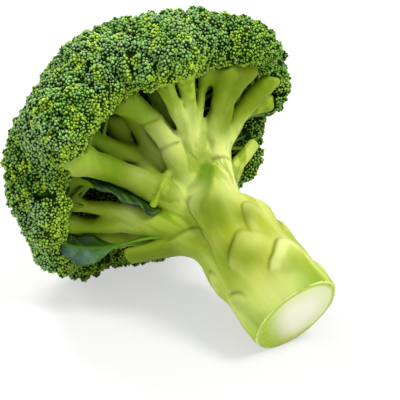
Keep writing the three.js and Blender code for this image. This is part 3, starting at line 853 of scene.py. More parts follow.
def cut_colour(skin, grain, place):
    """Pale pith, greener low down and browned on one side, inside a green ring and a pale rim."""
    from_middle = skin.attribute("from_middle")
    pith = skin.mix(skin.ramp(from_middle, 0.3, 0.85), paint(240, 241, 216), paint(222, 229, 172))
    pith = skin.coat(pith, skin.ramp(skin.attribute("low_side"), 0.1, 0.8), paint(166, 192, 20))
    brown = skin.ramp(skin.attribute("brown_side"), 0.6, 0.95)
    pith = skin.coat(pith, brown, paint(194, 176, 76), 0.8)
    face = skin.coat(pith, skin.ramp(from_middle, 0.84, 0.93), paint(168, 194, 60))
    face = skin.coat(face, skin.ramp(from_middle, 0.95, 0.985), paint(224, 234, 140))
    streaks = skin.ramp(skin.noise(grain, 0.5, 4.0), 0.35, 0.75)
    face = skin.coat(face, streaks, paint(232, 233, 190), 0.15)
    stain = skin.ramp(skin.noise(place, 55.0, 3.0), 0.5, 0.72)
    stain = skin.math("MULTIPLY", stain, skin.ramp(skin.attribute("brown_side"), 0.3, 0.9, 0.0, 0.8))
    return skin.coat(face, stain, paint(186, 172, 84))


def stem_material():
    """The waxy skin of the stalk, branches and leaf stalks, and the stalk's cut face."""
    skin = Shader("stem_skin", 0.5, Subsurface_Weight=0.1, Subsurface_Scale=0.003, Specular_IOR_Level=0.15)
    skin.surface.inputs["Subsurface Radius"].default_value = (0.6, 1.0, 0.25)
    place = skin.node("TexCoord", "Object")
    grain = skin.attribute("grain", "Vector")
    colour = skin_colour(skin, grain)
    colour = skin.coat(colour, skin.attribute("cut"), cut_colour(skin, grain, place))
    normal = skin.bump(skin.noise(grain, 1.1, 4.0), 0.06, 0.0005)
    rough = skin.ramp(skin.noise(place, 180.0, 2.0), 0.3, 0.7, 0.42, 0.6)
    return skin.finish(colour, rough, normal)


def bud_stalk_material():
    """The thin stalks below the buds: pale green, and darker towards the buds."""
    stalk = Shader("bud_stalks", 0.6, Specular_IOR_Level=0.2)
    return stalk.finish(stalk.coat(paint(112, 140, 30), stalk.attribute("end"), paint(88, 122, 10)))


def bud_material():
    """Small waxy buds, each a little lighter or darker: blue-green with bloom that is partly painted sheen,
    yellow-green when young, with a painted highlight on each tip and painted shade at each root.
    """
    bud = Shader("flower_buds", 0.45, Specular_IOR_Level=0.2)
    tone = bud.attribute("tone")
    tip = bud.attribute("tip")
    # The bloom colour is partly the buds' waxy bloom and partly painted sheen.
    colour = bud.coat(paint(74, 134, 2), bud.attribute("bloom"), paint(126, 174, 104))
    colour = bud.coat(colour, bud.attribute("young"), paint(176, 212, 0))
    colour = bud.coat(colour, bud.ramp(tone, 0.45, 1.0, 0.0, 0.5), paint(160, 204, 84))
    colour = bud.coat(colour, bud.ramp(tone, 0.0, 0.45, 0.6, 0.0), paint(22, 52, 4))
    # Painted highlight on each bud's tip.
    colour = bud.coat(colour, bud.ramp(tip, 0.75, 1.0, 0.0, 0.4), paint(196, 222, 130))
    # Painted shade at each bud's root, between the buds.
    colour = bud.coat(colour, bud.ramp(tip, 0.15, 0.9, 0.97, 0.0), paint(10, 30, 0))
    return bud.finish(colour)


def core_material():
    """The dark green flesh between the buds, painted nearly black as the shade in the gaps between them."""
    core = Shader("floret_core", 0.8, Specular_IOR_Level=0.05)
    # Painted shade: the flesh is nearly black, as the gaps between buds are in shade.
    colour = core.coat(paint(12, 28, 4), core.attribute("young"), paint(40, 70, 8))
    mottled = core.ramp(core.noise(core.node("TexCoord", "Object"), 700.0, 2.0), 0.4, 0.7)
    return core.finish(core.coat(colour, mottled, paint(36, 66, 10), 0.4))


def leaf_material():
    """A thin blue-green leaf with a waxy bloom, paler veins and a green stalk."""
    leaf = Shader("small_leaf", 0.5, Specular_IOR_Level=0.25)
    place = leaf.node("TexCoord", "Object")
    cloud = leaf.ramp(leaf.noise(place, 160.0, 3.0), 0.35, 0.7)
    waxy = leaf.coat(paint(38, 70, 46), cloud, paint(88, 122, 102))
    colour = leaf.coat(paint(24, 54, 6), leaf.attribute("bloom"), waxy)
    colour = leaf.coat(colour, leaf.attribute("vein"), paint(104, 150, 50), 0.7)
    colour = leaf.coat(colour, leaf.attribute("stalk"), paint(96, 144, 14))
    normal = leaf.bump(leaf.noise(place, 420.0, 2.0), 0.3, 0.0004)
    return leaf.finish(colour, None, normal)


# ------------------------------------------------------------------ the stem

def edge_distance(head, route):
    """How far points on the stalk are to the right of an edge's route, and how marked it is there."""
    line = curve_through(route, steps=3)
    marked = line[:, 2]
    middle = line[:, 0].mean()
    scale = np.radians(CUT_RADIUS)
    azimuth = np.degrees(np.arctan2(head[:, 1], head[:, 0]))
    spots = np.column_stack([((azimuth - middle + 180) % 360 - 180) * scale, head[:, 2]])
    line = np.column_stack([(line[:, 0] - middle) * scale, line[:, 1]])
    best = np.full(len(spots), FAR)
    side = np.zeros(len(spots))
    mark = np.zeros(len(spots))
    for i, (a, b) in enumerate(zip(line[:-1], line[1:])):
        step = b - a
        offset = spots - a
        share = np.clip(offset @ step / (step @ step), 0, 1)
        away = length(offset - share[:, None] * step)
        closer = away < best
        best[closer] = away[closer]
        turn = step[1] * offset[:, 0] - step[0] * offset[:, 1]
        side[closer] = np.sign(turn[closer])
        mark[closer] = (marked[i] + (marked[i + 1] - marked[i]) * share)[closer]
    return best * side, np.clip(mark, 0, 1)


def leaf_edges(head):
    """How far each point on the stalk stands out, and how near it is to an edge and to a cut slope."""
    rise = np.zeros(len(head))
    line = np.zeros(len(head))
    slope = np.zeros(len(head))
    for drop, swell, width, paleness, route in LEAF_EDGES:
        side, mark = edge_distance(head, route)
        present = smooth(mark, 0, 0.5)
        # The stalk drops slowly up to the edge, climbs a slope as wide as the width and then sinks again.
        drops = np.interp(side, [-8, -2.5, -0.6, 0.8], [0, 0.55, 1, 0]) * drop * mark
        climb = [-0.6, 0.8, width, width + 1.5, width + 15]
        swells = np.interp(side, climb, [0, 0.35, 1, 0.9, 0]) * swell * present
        rise += swells - drops
        line = np.maximum(line, fade(side + SCAR_INSET, SCAR_WIDTH) * mark**2)
        on_slope = smooth(side, 0.2, 1.0) * smooth(width - side, -1.0, 1.5)
        slope = np.maximum(slope, paleness * on_slope * present)
    return rise, line, slope


def line_depth(points, routes, width):
    """1 on any of some routes, fading out across a width."""
    best = np.full(len(points), FAR)
    for route in routes:
        line = smooth_line(route, steps=4)
        for a, b in zip(line[:-1], line[1:]):
            step = b - a
            share = np.clip((points - a) @ step / (step @ step), 0, 1)
            best = np.minimum(best, length(points - a - share[:, None] * step))
    return fade(best, width)


def unevenness(head, height, wavelength, squeeze, seed):
    """Waves that are longer along the stalk than around it, because heights are squeezed."""
    return height * ripple(head * [1, 1, squeeze], wavelength, seed)


def cut_tip(name):
    """A plane that a leaf stalk's tip is cut on, as a point on it and the direction it faces."""
    if name in SLANTED_CUTS:
        place, facing_azimuth, facing_height = SLANTED_CUTS[name]
        facing = around(facing_azimuth, 1, facing_height) - to_world([0, 0, 0])
        return around(*place), unit(facing)
    middle, facing = flat_end(name)
    return middle - TIP_TRIM * facing, facing


def add_branches(field, florets):
    """Grows the stalk, the branches and their trumpets into one surface."""
    for name in ["stalk", *BRANCHES]:
        if name in FINE_LIMBS:
            for route in FINE_LIMBS[name]:
                field.grow(field.everywhere, field.limb_distance(route), FINE_FILLET)
            continue
        part, values = field.node_distance(*node_arrays(name))
        height = to_head(field.places(part))[..., 2]
        trim = BRANCH_TRIM * smooth(height, *FORK_HEIGHTS)
        field.grow(part, values + trim, np.interp(height, FORK_HEIGHTS, [STALK_FILLET, BRANCH_FILLET]))
    for floret in florets:
        for start, end, start_radius, end_radius in floret.trumpets:
            field.grow(*field.cone_distance(start, end, start_radius, end_radius), TRUMPET_FILLET)


def stop_branches(field, room_below):
    """Ends the branches inside the crown. room_below is the field of where a branch may be."""
    near = np.abs(field.values) < STEM_SKIN
    values = room_below.sample(field.chosen_places(near))
    field.values[near] = round_max(field.values[near], values, BRANCH_END_ROUNDING)


def around_cut(field):
    """The window of a field around the stalk's cut end, and its places in the head's axes."""
    room = CUT_RADIUS + STEM_REACH
    part, _ = field.window(CUT_MIDDLE - room, CUT_MIDDLE + room)
    return part, to_head(field.places(part))


def run_past_cut(field):
    """Runs the stalk on past its cut before it is cut off, so that its rim is sharp."""
    part, head = around_cut(field)
    rod = np.maximum(length(head[..., :2]) - CUT_RADIUS, np.abs(head[..., 2]) - STEM_REACH + 1)
    field.grow(part, rod, CUT_FILLET)


def cut_off(field):
    """Cuts the stalk off with a slightly swollen face."""
    part, head = around_cut(field)
    swell = CUT_SWELL * (1 - (length(head[..., :2]) / CUT_RADIUS) ** 2)
    field.values[part] = round_max(field.values[part], -head[..., 2] - swell, CUT_ROUNDING)


def shape_skin(field):
    """Gives the stalk its leaf edges and unevenness, and the branches their cracks and creases."""
    near = np.abs(field.values) < STEM_SKIN
    places = field.chosen_places(near)
    head = to_head(places)
    on_stalk = head[:, 2] < FORK_HEIGHTS[1]
    rise = np.zeros(len(places))
    rise[on_stalk] = leaf_edges(head[on_stalk])[0]
    rise += unevenness(head, **STALK_WAVES)
    rise += unevenness(head, **RIDGES) * smooth(head[:, 2], 0, RIDGE_START)
    rise -= CRACK_DEPTH * line_depth(places, CRACKS, CRACK_WIDTH)
    rise -= CREASE_DEPTH * line_depth(places, CREASES, CREASE_WIDTH)
    # Far from the surface the distances stay as they are.
    field.values[near] -= rise * np.clip(1.6 - np.abs(field.values[near]) / 3, 0, 1)


def add_stub(field, name):
    """Adds a leaf stalk, thickened and cut at its tip."""
    part, values = field.node_distance(*node_arrays(name))
    solid = np.full(field.shape, STEM_REACH, np.float32)
    solid[part] = values
    for route in THICK_STUBS.get(name, ()):
        solid = np.minimum(solid, field.limb_distance(route))
    near = solid < STEM_REACH - 0.5
    point, facing = cut_tip(name)
    beyond = (field.chosen_places(near) - point) @ facing
    field.grow(near, round_max(solid[near], beyond, CUT_ROUNDING), STUB_FILLET)


def grown_stem(florets, room_below):
    """The field of the stalk, branches and cut leaf stalks, joined with fillets."""
    field = Field(*box_of(["stalk", *BRANCHES, *STUBS]), STEM_PITCH, STEM_REACH)
    add_branches(field, florets)
    stop_branches(field, room_below)
    field.soften(STEM_SOFTENING)
    run_past_cut(field)
    shape_skin(field)
    for name in STUBS:
        add_stub(field, name)
    field.soften(DETAIL_SOFTENING)
    cut_off(field)
    return field


def crown_fields(florets):
    """The fields of the whole crown, of the same crown hollowed below and of where a branch may be.

    The last value maps each floret's name to its own distances, as a window and the values in it.
    """
    field, shell, room_below = (Field(*box_of(FLORETS), CROWN_PITCH, CROWN_REACH) for _ in range(3))
    least = np.full(field.shape, CROWN_REACH, np.float32)
    underside = np.full(field.shape, NO_UNDERSIDE, np.float32)
    own = {}
    for floret in florets:
        part, values = field.node_distance(*node_arrays(floret.name))
        own[floret.name] = part, values
        field.grow(part, values, CROWN_FILLET)
        closer = values < least[part]
        least[part][closer] = values[closer]
        underside[part][closer] = floret.underside
    field.soften(CROWN_SOFTENING)
    hollow = underside - length(field.places(field.everywhere) - APEX)
    shell.values = round_max(field.values + BUD_INSET, hollow, UNDERSIDE_ROUNDING)
    room_below.values = np.minimum(-hollow - ROOTING, field.values + ROOT_DEPTH)
    return field, shell, room_below, own


def closeness(fields, corners, normals):
    """How much of the space around each point is filled, looking a step away from the surface."""
    filled = Field(corners.min(axis=0), corners.max(axis=0), HOLLOW_SHADE_PITCH, 3 * HOLLOW_SHADE_STEP)
    places = filled.places(filled.everywhere).reshape(-1, 3)
    solid = np.zeros(len(places), bool)
    for field in fields:
        low = field.start * field.pitch
        high = (field.start + field.shape) * field.pitch
        inside = np.all((places > low) & (places < high), axis=1)
        solid[inside] |= field.sample(places[inside]) < 0
    filled.values = solid.reshape(filled.shape).astype(np.float32)
    filled.soften(HOLLOW_SHADE_SPREAD)
    return filled.sample(corners + normals * HOLLOW_SHADE_STEP)


def green_tips(corners, normals, height):
    """1 on the high cuts of leaf stalks, which are green."""
    tip = np.zeros(len(corners))
    for name in STUBS:
        point, facing = cut_tip(name)
        low, high = box_of([name])
        inside = np.all((corners > low - CUT_MARGIN) & (corners < high + CUT_MARGIN), axis=1)
        on_cut = inside & (np.abs((corners - point) @ facing) < CUT_THICKNESS)
        tip[on_cut] = (smooth(normals @ facing, 0.7, 0.9) * smooth(height, *GREEN_TIPS))[on_cut]
    return tip


def patch_strength(corners, patches):
    """The strengths of all patches that reach each point, added up."""
    return sum(
        strength * fade(length(corners - around(*place)), size) for *place, size, strength in patches
    )


def stem_attributes(corners, quads, fields):
    """The values that colour the stem's skin. fields are those whose hollows get painted shade."""
    head = to_head(corners)
    reach = length(head[:, :2])
    height = head[:, 2]
    across = np.minimum(reach / CUT_RADIUS, 1)
    spread = 1 + np.maximum(height - GRAIN_START, 0) / GRAIN_SPREAD
    along = np.hypot(reach, height) / GRAIN_STRETCH
    normals = vertex_normals(corners, quads)
    _, line, slope = leaf_edges(head)
    on_stalk = smooth(FORK_HEIGHTS[1] - height, 0, 8)
    # Painted shade in the creases between limbs, laid in with the darker patches.
    crease_shade = CREASE_SHADE * line_depth(corners, CREASES, CREASE_WIDTH)
    shaded_side = facing_side(head, SHADED_SIDE)
    return {
        "grain": np.column_stack([head[:, 0] / spread, head[:, 1] / spread, along]),
        # Painted shade in the hollows, from how filled the space is a step off the surface.
        "deep": closeness(fields, corners, normals),
        "branch": smooth(height, *BRANCH_COLOURS),
        # Greener and darker towards the crown: partly own colour, partly painted shade.
        "end": smooth(length(corners - APEX), *END_COLOURS),
        "scar": np.maximum(line * on_stalk, line_depth(corners, CRACKS, CRACK_WIDTH)),
        # Pale slopes: partly scar tissue, partly painted highlight.
        "slope": slope * on_stalk * (1 - line),
        "tip": green_tips(corners, normals, height),
        # Darker patches, partly painted shade, and the creases' painted shade.
        "patch": np.clip(patch_strength(corners, GREEN_AND_SHADE_PATCHES) + crease_shade, 0, 1),
        # Paler patches, partly painted highlights.
        "pale": np.clip(patch_strength(corners, PALE_AND_HIGHLIGHT_PATCHES), 0, 1),
        # Painted shade on the lower side.
        "dull": smooth(shaded_side, 0.1, 0.75),
        "cut": smooth(-(normals @ AXES[2]), 0.7, 0.92) * (height < 1.0),
        "from_middle": across,
        "low_side": shaded_side * across,
        "brown_side": facing_side(head, BROWN_SIDE) * across,
    }


# ------------------------------------------------------------------ the florets

def bud_shape():
    """One flower bud of twenty faces, a unit across, with its share of height from root to tip."""
    bpy.ops.mesh.primitive_ico_sphere_add(subdivisions=1, radius=0.5)
    bud = bpy.context.object
    bud.name = "bud_shape"
    for vertex in bud.data.vertices:
        vertex.co.z *= BUD_LENGTH
    heights = np.array([vertex.co.z for vertex in bud.data.vertices])
    layer = bud.data.attributes.new("tip", "FLOAT", "POINT")
    layer.data.foreach_set("value", ((heights - heights.min()) / np.ptp(heights)).astype(np.float32))
    bud.data.shade_smooth()
    return bud


def bud_tree(bud, material):
    """Geometry nodes that plant buds over the marked part of a core."""
    tree = bpy.data.node_groups.new("buds", "GeometryNodeTree")
    sockets = tree.interface
    sockets.new_socket("Core", in_out="INPUT", socket_type="NodeSocketGeometry")
    for label, value in (("Spacing", BUD_SPACING * MM), ("Size", BUD_SIZE * MM), ("Seed", 0)):
        kind = "NodeSocketInt" if label == "Seed" else "NodeSocketFloat"
        sockets.new_socket(label, in_out="INPUT", socket_type=kind).default_value = value
    sockets.new_socket("Floret", in_out="OUTPUT", socket_type="NodeSocketGeometry")

    given = add_node(tree, "NodeGroupInput").outputs
    planted = add_node(tree, "GeometryNodeInputNamedAttribute", {"Name": "planted"}, data_type="FLOAT")
    points = add_node(tree, "GeometryNodeDistributePointsOnFaces", {
        "Mesh": given["Core"],
        "Distance Min": given["Spacing"],
        "Density Max": BUD_DENSITY,
        "Density Factor": planted.outputs["Attribute"],
        "Seed": given["Seed"],
    }, distribute_method="POISSON").outputs

    # A Random Value node has its plain numbers' Min and Max at 2 and 3, and its plain result at 1.
    size = add_node(tree, "FunctionNodeRandomValue", dict(zip((2, 3), BUD_SIZES)), data_type="FLOAT")
    scale = add_node(tree, "ShaderNodeMath", {0: size.outputs[1], 1: given["Size"]}, operation="MULTIPLY")
    shape = add_node(tree, "GeometryNodeObjectInfo", {"Object": bud})
    buds = add_node(tree, "GeometryNodeInstanceOnPoints", {
        "Points": points["Points"],
        "Instance": shape.outputs["Geometry"],
        "Rotation": points["Rotation"],
        "Scale": scale.outputs[0],
    })
    lean = add_node(tree, "FunctionNodeRandomValue", {
        "Min": (-BUD_LEAN, -BUD_LEAN, -math.pi),
        "Max": (BUD_LEAN, BUD_LEAN, math.pi),
    }, data_type="FLOAT_VECTOR")
    leaning = add_node(tree, "GeometryNodeRotateInstances", {
        "Instances": buds.outputs["Instances"],
        "Rotation": lean.outputs[0],
    })
    tone = add_node(tree, "FunctionNodeRandomValue", {"Seed": 7}, data_type="FLOAT")
    toned = add_node(tree, "GeometryNodeStoreNamedAttribute", {
        "Geometry": leaning.outputs["Instances"],
        "Name": "tone",
        "Value": tone.outputs[1],
    }, data_type="FLOAT", domain="INSTANCE")
    real = add_node(tree, "GeometryNodeRealizeInstances", {"Geometry": toned.outputs["Geometry"]})
    coat = add_node(tree, "GeometryNodeSetMaterial", {
        "Geometry": real.outputs["Geometry"],
        "Material": material,
    })
    join = add_node(tree, "GeometryNodeJoinGeometry")
    for geometry in (given["Core"], coat.outputs["Geometry"]):
        feed(tree, join.inputs["Geometry"], geometry)
    add_node(tree, "NodeGroupOutput", {"Floret": join.outputs["Geometry"]})
    return tree


def plant_buds(piece, tree, seed):
    """Runs the bud nodes on a core and leaves the result as its plain mesh."""
    modifier = piece.modifiers.new("buds", "NODES")
    modifier.node_group = tree
    for socket in tree.interface.items_tree:
        if socket.name == "Seed":
            modifier[socket.identifier] = seed
    graph = bpy.context.evaluated_depsgraph_get()
    made = bpy.data.meshes.new_from_object(piece.evaluated_get(graph))
    piece.modifiers.remove(modifier)
    piece.data = made
    made.name = piece.name
    low = FLOOR_CLEARANCE * MM
    for vertex in made.vertices:
        vertex.co.z = max(vertex.co.z, low)


def bud_stalks(floret, crown, seed):
    """Thin stalks that fan out from a branch's end to the underside of its floret.

    Gives their corners and faces, and how far along its stalk each corner is.
    """
    draw = np.random.default_rng(seed)
    side = unit(np.cross(floret.facing, FAN_START))
    other = np.cross(floret.facing, side)
    spread = FINE_STALK_SPREAD if floret.branch in FINE_LIMBS else BUD_STALK_SPREAD
    corners, faces, share = [np.zeros((0, 3))], [], [np.zeros(0)]
    count = 0
    for i in range(BUD_STALKS):
        turn = i * BUD_STALK_TURN + draw.uniform(-BUD_STALK_SWAY, BUD_STALK_SWAY)
        out = side * math.cos(turn) + other * math.sin(turn)
        reach = floret.half_width * math.sqrt((i + 0.5) / BUD_STALKS) * spread
        way = unit(floret.facing * floret.underside + out * reach)
        end = APEX + way * (floret.underside + BUD_STALK_END)
        if crown.sample(end[None])[0] > -BUD_STALK_COVER:
            continue
        start = min(floret.roots, key=lambda place: length(end - place)) + out * BUD_STALK_START
        middle = start + (end - start) * 0.5 - out * reach * BUD_STALK_BOW
        route = curve_through([start, middle, end], steps=3)
        radii = np.linspace(*BUD_STALK_RADII, len(route)) * draw.uniform(*BUD_STALK_SIZES)
        rod, rod_faces = thin_limb(route, radii, BUD_STALK_SIDES)
        corners.append(rod)
        faces += [tuple(k + count for k in face) for face in rod_faces]
        share.append(np.repeat(np.linspace(0, 1, len(route)), BUD_STALK_SIDES))
        count += len(rod)
    return np.vstack(corners), faces, np.concatenate(share)


def two_least(own, shape):
    """The distances to the nearest floret and to the next, at all places of the crown's grid."""
    least = np.full(shape, CROWN_REACH, np.float32)
    second = np.full(shape, CROWN_REACH, np.float32)
    for part, values in own.values():
        before = least[part]
        second[part] = np.minimum(second[part], np.maximum(before, values))
        least[part] = np.minimum(before, values)
    return least, second


def floret_core(shell, own_distances, least, second):
    """The part of the hollowed crown that is nearest to one floret, as corners and quads."""
    part, values = own_distances
    others = np.where(least[part] < values, least[part], second[part])
    cell = np.full(shell.shape, CROWN_REACH, np.float32)
    cell[part] = np.maximum(shell.values[part], (values - others) / 2 + FLORET_GAP / 2)
    return closed_surface(shell, cell)


def lumps(corners, normals, lobes, clusters):
    """How high each point is on its lobe and on its cluster, and how far it faces back to APEX."""
    near, following = two_nearest(corners, lobes)
    lobe = smooth(following - near, 0, LOBE_SLOPE)
    near, following = two_nearest(corners, clusters)
    dome = 1 - (near / (CLUSTER_WIDTH * CLUSTER_SPACING)) ** 2
    cluster = np.clip(dome, -0.3, 1) * smooth(following - near, -0.6, 1.0)
    under = smooth(-np.sum(normals * unit(corners - APEX), axis=1), -0.1, 0.6)
    return lobe, cluster, under


def bud_colours(corners, rim, lobe, cluster, under):
    """How blue with bloom the buds are at each point, and how young and yellow. The bloom is partly the buds'
    own and partly painted sheen on the tops and the lit side, and the far side is painted darker as shade.
    """
    towards_lit_side = facing_side(to_head(corners), LIT_CROWN_SIDE)
    mottle = ripple(corners, 7, 22)
    # Painted sheen: the bloom is stronger on cluster and lobe tops, away from the underside and on the lit
    # side.
    bloom = smooth(0.5 * ripple(corners, 30, 21) + 0.3 * mottle + 0.5 * cluster + 0.3 * lobe, -0.35, 0.85)
    bloom = bloom * (1 - 0.85 * rim) * (1 - under) * (1 - 0.95 * smooth(-towards_lit_side, -0.4, 0.4))
    young = smooth(ripple(corners, 9, 23) + 0.25 * mottle, 0.5, 1.3) + 0.5 * rim
    # Painted shade: away from the lit side the buds are less yellow, so darker.
    young = np.clip(young, 0, 1) * (1 - 0.4 * bloom) * (1.1 - 0.8 * smooth(-towards_lit_side, -0.3, 0.5))
    return bloom, young


def raised_core(floret, core, crown, stem, lobes, clusters):
    """A core's corners raised into lobes and clusters, and what its buds are like at each of them."""
    corners, quads = core
    normals = vertex_normals(corners, quads)
    away = length(corners - APEX)
    lobe, cluster, under = lumps(corners, normals, lobes, clusters)
    rim = smooth(floret.underside + RIM_DEPTH - away, -4, 6)
    underside = smooth(floret.underside + UNDERSIDE_DEPTH - away, -1.5, 2.5)
    outside = np.maximum(smooth(crown.sample(corners) + BUD_INSET, -1.0, -0.25), underside)
    clear = smooth(stem.sample(corners), 0.1, 1.0)

    rise = LOBE_RISE * (lobe - 0.6) + CLUSTER_RISE * (cluster - 0.45) * (1 - 0.5 * under)
    corners = corners + normals * (rise * outside)[:, None]
    on_top = length(corners - APEX) > floret.underside + 1.5
    # Buds stand on the outside and clear of the stem, thinly between clusters and very thinly underneath.
    planted = (outside > 0.6) * (clear > 0.5) * np.where(cluster > -0.2, 1, BUDS_BETWEEN)
    planted = planted * np.where(on_top, 1, BUDS_BELOW)
    bloom, young = bud_colours(corners, rim, lobe, cluster, under)
    return corners, {"planted": planted, "bloom": bloom, "young": young}


def floret_piece(floret, corners, quads, marks, rods, looks):
    """A mesh of a core and its bud stalks, with the core's marks."""
    rod_corners, rod_faces, rod_share = rods
    count = len(corners)
    nothing = np.zeros(len(rod_corners))
    attributes = {label: np.concatenate([values, nothing]) for label, values in marks.items()}
    attributes["end"] = np.concatenate([np.zeros(count), rod_share])
    faces = quads.tolist() + [tuple(k + count for k in face) for face in rod_faces]
    which = [0] * len(quads) + [1] * len(rod_faces)
    name = floret.name.replace("floret_", "buds_")
    return make_piece(name, np.vstack([corners, rod_corners]), faces, looks, attributes, which)


def make_florets(florets, crown, shell, own, stem, looks):
    """One piece for each floret node: a core cut from the crown, lumpy and coated with buds."""
    core_look, stalk_look, bud_look = looks
    bud = bud_shape()
    tree = bud_tree(bud, bud_look)
    least, second = two_least(own, crown.shape)

    # The whole crown's surface carries the lobes and clusters, so that they run on from floret to floret.
    surface, _ = shell.mesh()
    lobes = surface[spread_points(surface, LOBE_SPACING, 1)]
    clusters = surface[spread_points(surface, CLUSTER_SPACING, 2)]

    pieces = []
    for seed, floret in enumerate(florets):
        core = floret_core(shell, own[floret.name], least, second)
        corners, marks = raised_core(floret, core, crown, stem, lobes, clusters)
        rods = bud_stalks(floret, crown, 100 + seed)
        piece = floret_piece(floret, corners, core[1], marks, rods, [core_look, stalk_look])
        plant_buds(piece, tree, seed)
        pieces.append((piece, floret.name))
    bpy.data.objects.remove(bud)
    return pieces


# ------------------------------------------------------------------ the small leaves

def leaf_surface(leaf, columns):
    """A leaf's upper side, row by row along its midrib, and how near each of its points is to a vein."""
    spine = smooth_line(leaf["route"], steps=6)
    along = unit(np.gradient(spine, axis=0))
    side = unit(np.cross(along, [0, 0, 1]))
    up = np.cross(side, along)
    share = np.linspace(0, 1, len(spine))
    blade = smooth(share, leaf["opens"], leaf["opens"] + BLADE_OPENING) * np.sqrt(np.clip(1 - share**4, 0, 1))
    folded = smooth(share, leaf["opens"], leaf["opens"] + FOLD_OPENING)
    top, vein = [], []
    for i, middle in enumerate(spine):
        for column in columns:
            half = "near" if column < 0 else "far"
            out = abs(column)
            reach = LEAF_STALK_WIDTH / 2 * (1 - share[i]) + leaf[half] * blade[i]
            fold = math.radians(leaf["fold_" + half] * out * folded[i])
            wave = leaf["wave"] * blade[i] * out**2 * math.sin(share[i] * WAVE_TURNS + WAVE_SHIFT * column)
            bend = side[i] * math.cos(fold) * np.sign(column) + up[i] * math.sin(fold)
            top.append(middle + bend * reach * out + up[i] * wave)
            ribs = abs((share[i] * RIBS - RIB_SLANT * out) % 1 - 0.5) * 2
            side_vein = RIB_PALENESS * (ribs > RIB_EDGE) * blade[i]
            vein.append(max(fade(column * reach, VEIN_WIDTH), side_vein))
    return np.array(top), share, vein


def make_leaf(name, leaf, material):
    """A thin curved leaf: a midrib's route with a folded, waving blade on each side of it."""
    columns = np.linspace(-1, 1, LEAF_COLUMNS)
    top, share, vein = leaf_surface(leaf, columns)
    rows, across = len(share), len(columns)
    quads = []
    for i in range(rows - 1):
        for j in range(across - 1):
            a = i * across + j
            quads.append((a, a + 1, a + across + 1, a + across))
    normals = vertex_normals(top, np.array(quads))
    thick = np.interp(share, [0, leaf["opens"], 1], LEAF_THICKNESS)
    thick = np.repeat(thick, across) * np.tile(1 - LEAF_EDGE_THINNING * np.abs(columns), rows)
    below = top - normals * thick[:, None]
    count = len(top)
    faces = quads + [tuple(k + count for k in reversed(quad)) for quad in quads]
    border = [*range(across), *range(2 * across - 1, count, across),
              *range(count - 2, count - across - 1, -1), *range(count - 2 * across, 0, -across)]
    for a, b in zip(border, border[1:] + border[:1]):
        faces.append((b, a, a + count, b + count))
    stalk = 1 - smooth(share, leaf["opens"] - 0.1, leaf["opens"] + 0.25)
    attributes = {
        "vein": np.tile(vein, 2),
        "bloom": np.tile(np.where(columns < 0, leaf["bloom_near"], leaf["bloom_far"]), 2 * rows),
        "stalk": np.tile(np.repeat(stalk, across), 2),
    }
    return make_piece(name, np.vstack([top, below]), faces, [material], attributes)


# ------------------------------------------------------------------ the stage

def direction(azimuth, elevation):
    """The way from the object to a camera or lamp. Azimuth 0 is in front, and 90 is on the right."""
    turn, lift = math.radians(azimuth), math.radians(elevation)
    return Vector((math.sin(turn) * math.cos(lift), -math.cos(turn) * math.cos(lift), math.sin(lift)))


def set_camera():
    """A long lens that looks down at the head's front."""
    back = direction(CAMERA_AZIMUTH, CAMERA_ELEVATION)
    right = direction(CAMERA_AZIMUTH + 90, 0)
    aim = Vector(to_world([0, 0, TARGET_HEIGHT])) + right * AIM_RIGHT + back.cross(right) * AIM_UP
    camera = bpy.data.objects.new("camera", bpy.data.cameras.new("camera"))
    camera.data.lens = CAMERA_LENS
    camera.data.clip_end = CAMERA_LIMIT
    camera.location = (aim + back * CAMERA_DISTANCE) * MM
    camera.rotation_euler = back.to_track_quat("Z", "Y").to_euler()
    camera.rotation_euler.rotate_axis("Z", math.radians(CAMERA_ROLL))
    bpy.context.scene.collection.objects.link(camera)
    bpy.context.scene.camera = camera


def add_lamp(name, azimuth, elevation, distance, size, power):
    """A round soft lamp that faces the object, placed by its angles from the camera's azimuth."""
    way = direction(CAMERA_AZIMUTH + azimuth, elevation)
    light = bpy.data.objects.new(name, bpy.data.lights.new(name, "AREA"))
    light.data.shape = "DISK"
    light.data.size = size
    light.data.energy = power
    light.location = way * distance
    light.rotation_euler = way.to_track_quat("Z", "Y").to_euler()
    bpy.context.scene.collection.objects.link(light)


def seen_directly(tree):
    """1 for the camera's own rays and for those that it sees in or through a surface, else 0."""
    path = add_node(tree, "ShaderNodeLightPath").outputs
    total = path["Is Camera Ray"]
    for label in ("Is Glossy Ray", "Is Transmission Ray"):
        values = {0: total, 1: path[label]}
        total = add_node(tree, "ShaderNodeMath", values, operation="ADD", use_clamp=True).outputs[0]
    return total


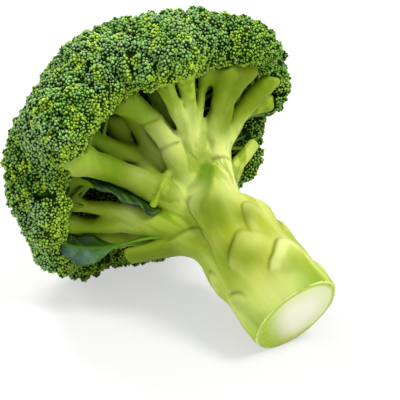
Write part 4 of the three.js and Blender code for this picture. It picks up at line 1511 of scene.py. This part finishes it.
def set_world():
    """A plain sky that the camera sees as white."""
    world = bpy.data.worlds.new("studio")
    bpy.context.scene.world = world
    world.use_nodes = True
    tree = world.node_tree
    tree.nodes.clear()
    sky = add_node(tree, "ShaderNodeBackground", {"Strength": SKY_STRENGTH})
    white = add_node(tree, "ShaderNodeBackground", {"Color": WHITE})
    shades = {0: seen_directly(tree), 1: sky.outputs[0], 2: white.outputs[0]}
    mix = add_node(tree, "ShaderNodeMixShader", shades)
    add_node(tree, "ShaderNodeOutputWorld", {"Surface": mix.outputs[0]})


def floor_material():
    """White to the camera and pale to the head, with the head's shadow on it."""
    matt = Shader("floor_white", 0.9, Specular_IOR_Level=0)
    seen = seen_directly(matt.tree)
    away = matt.node("VectorMath", "Value", {0: matt.node("TexCoord", "Object")}, operation="LENGTH")
    glow = matt.math("MULTIPLY", seen, matt.ramp(away, *FLOOR_GLOW_RISE, FLOOR_GLOW, FLOOR_FAR_GLOW))
    matt.surface.inputs["Emission Color"].default_value = WHITE
    feed(matt.tree, matt.surface.inputs["Emission Strength"], glow)
    lit, camera = ((grey, grey, grey, 1) for grey in (FLOOR_LIT, FLOOR_SEEN))
    return matt.finish(matt.mix(seen, lit, camera))


def set_stage():
    """The camera, the lamps, the sky and the white floor."""
    bpy.context.scene.view_settings.view_transform = "Standard"
    set_camera()
    for name, placing in LAMPS.items():
        add_lamp(name, *placing)
    set_world()
    bpy.ops.mesh.primitive_plane_add(size=FLOOR_SIZE)
    floor = bpy.context.object
    floor.name = "floor"
    floor.data.materials.append(floor_material())


# ------------------------------------------------------------------ putting it together

florets = [Floret(name) for name in FLORETS]
crown, shell, room_below, own = crown_fields(florets)
stem = grown_stem(florets, room_below)
corners, quads = stem.mesh()
marks = stem_attributes(corners, quads, [stem, shell])
stem_piece = make_piece("stem", corners, quads.tolist(), [stem_material()], marks)
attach(stem_piece, "root")
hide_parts("stalk", *BRANCHES, *STUBS)

looks = core_material(), bud_stalk_material(), bud_material()
for piece, name in make_florets(florets, crown, shell, own, stem, looks):
    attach(piece, "root")
    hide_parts(name)

leaf_look = leaf_material()
for name, leaf in LEAVES.items():
    piece = make_leaf(name + "_blade", leaf, leaf_look)
    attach(piece, "root")
    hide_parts(name)

set_stage()
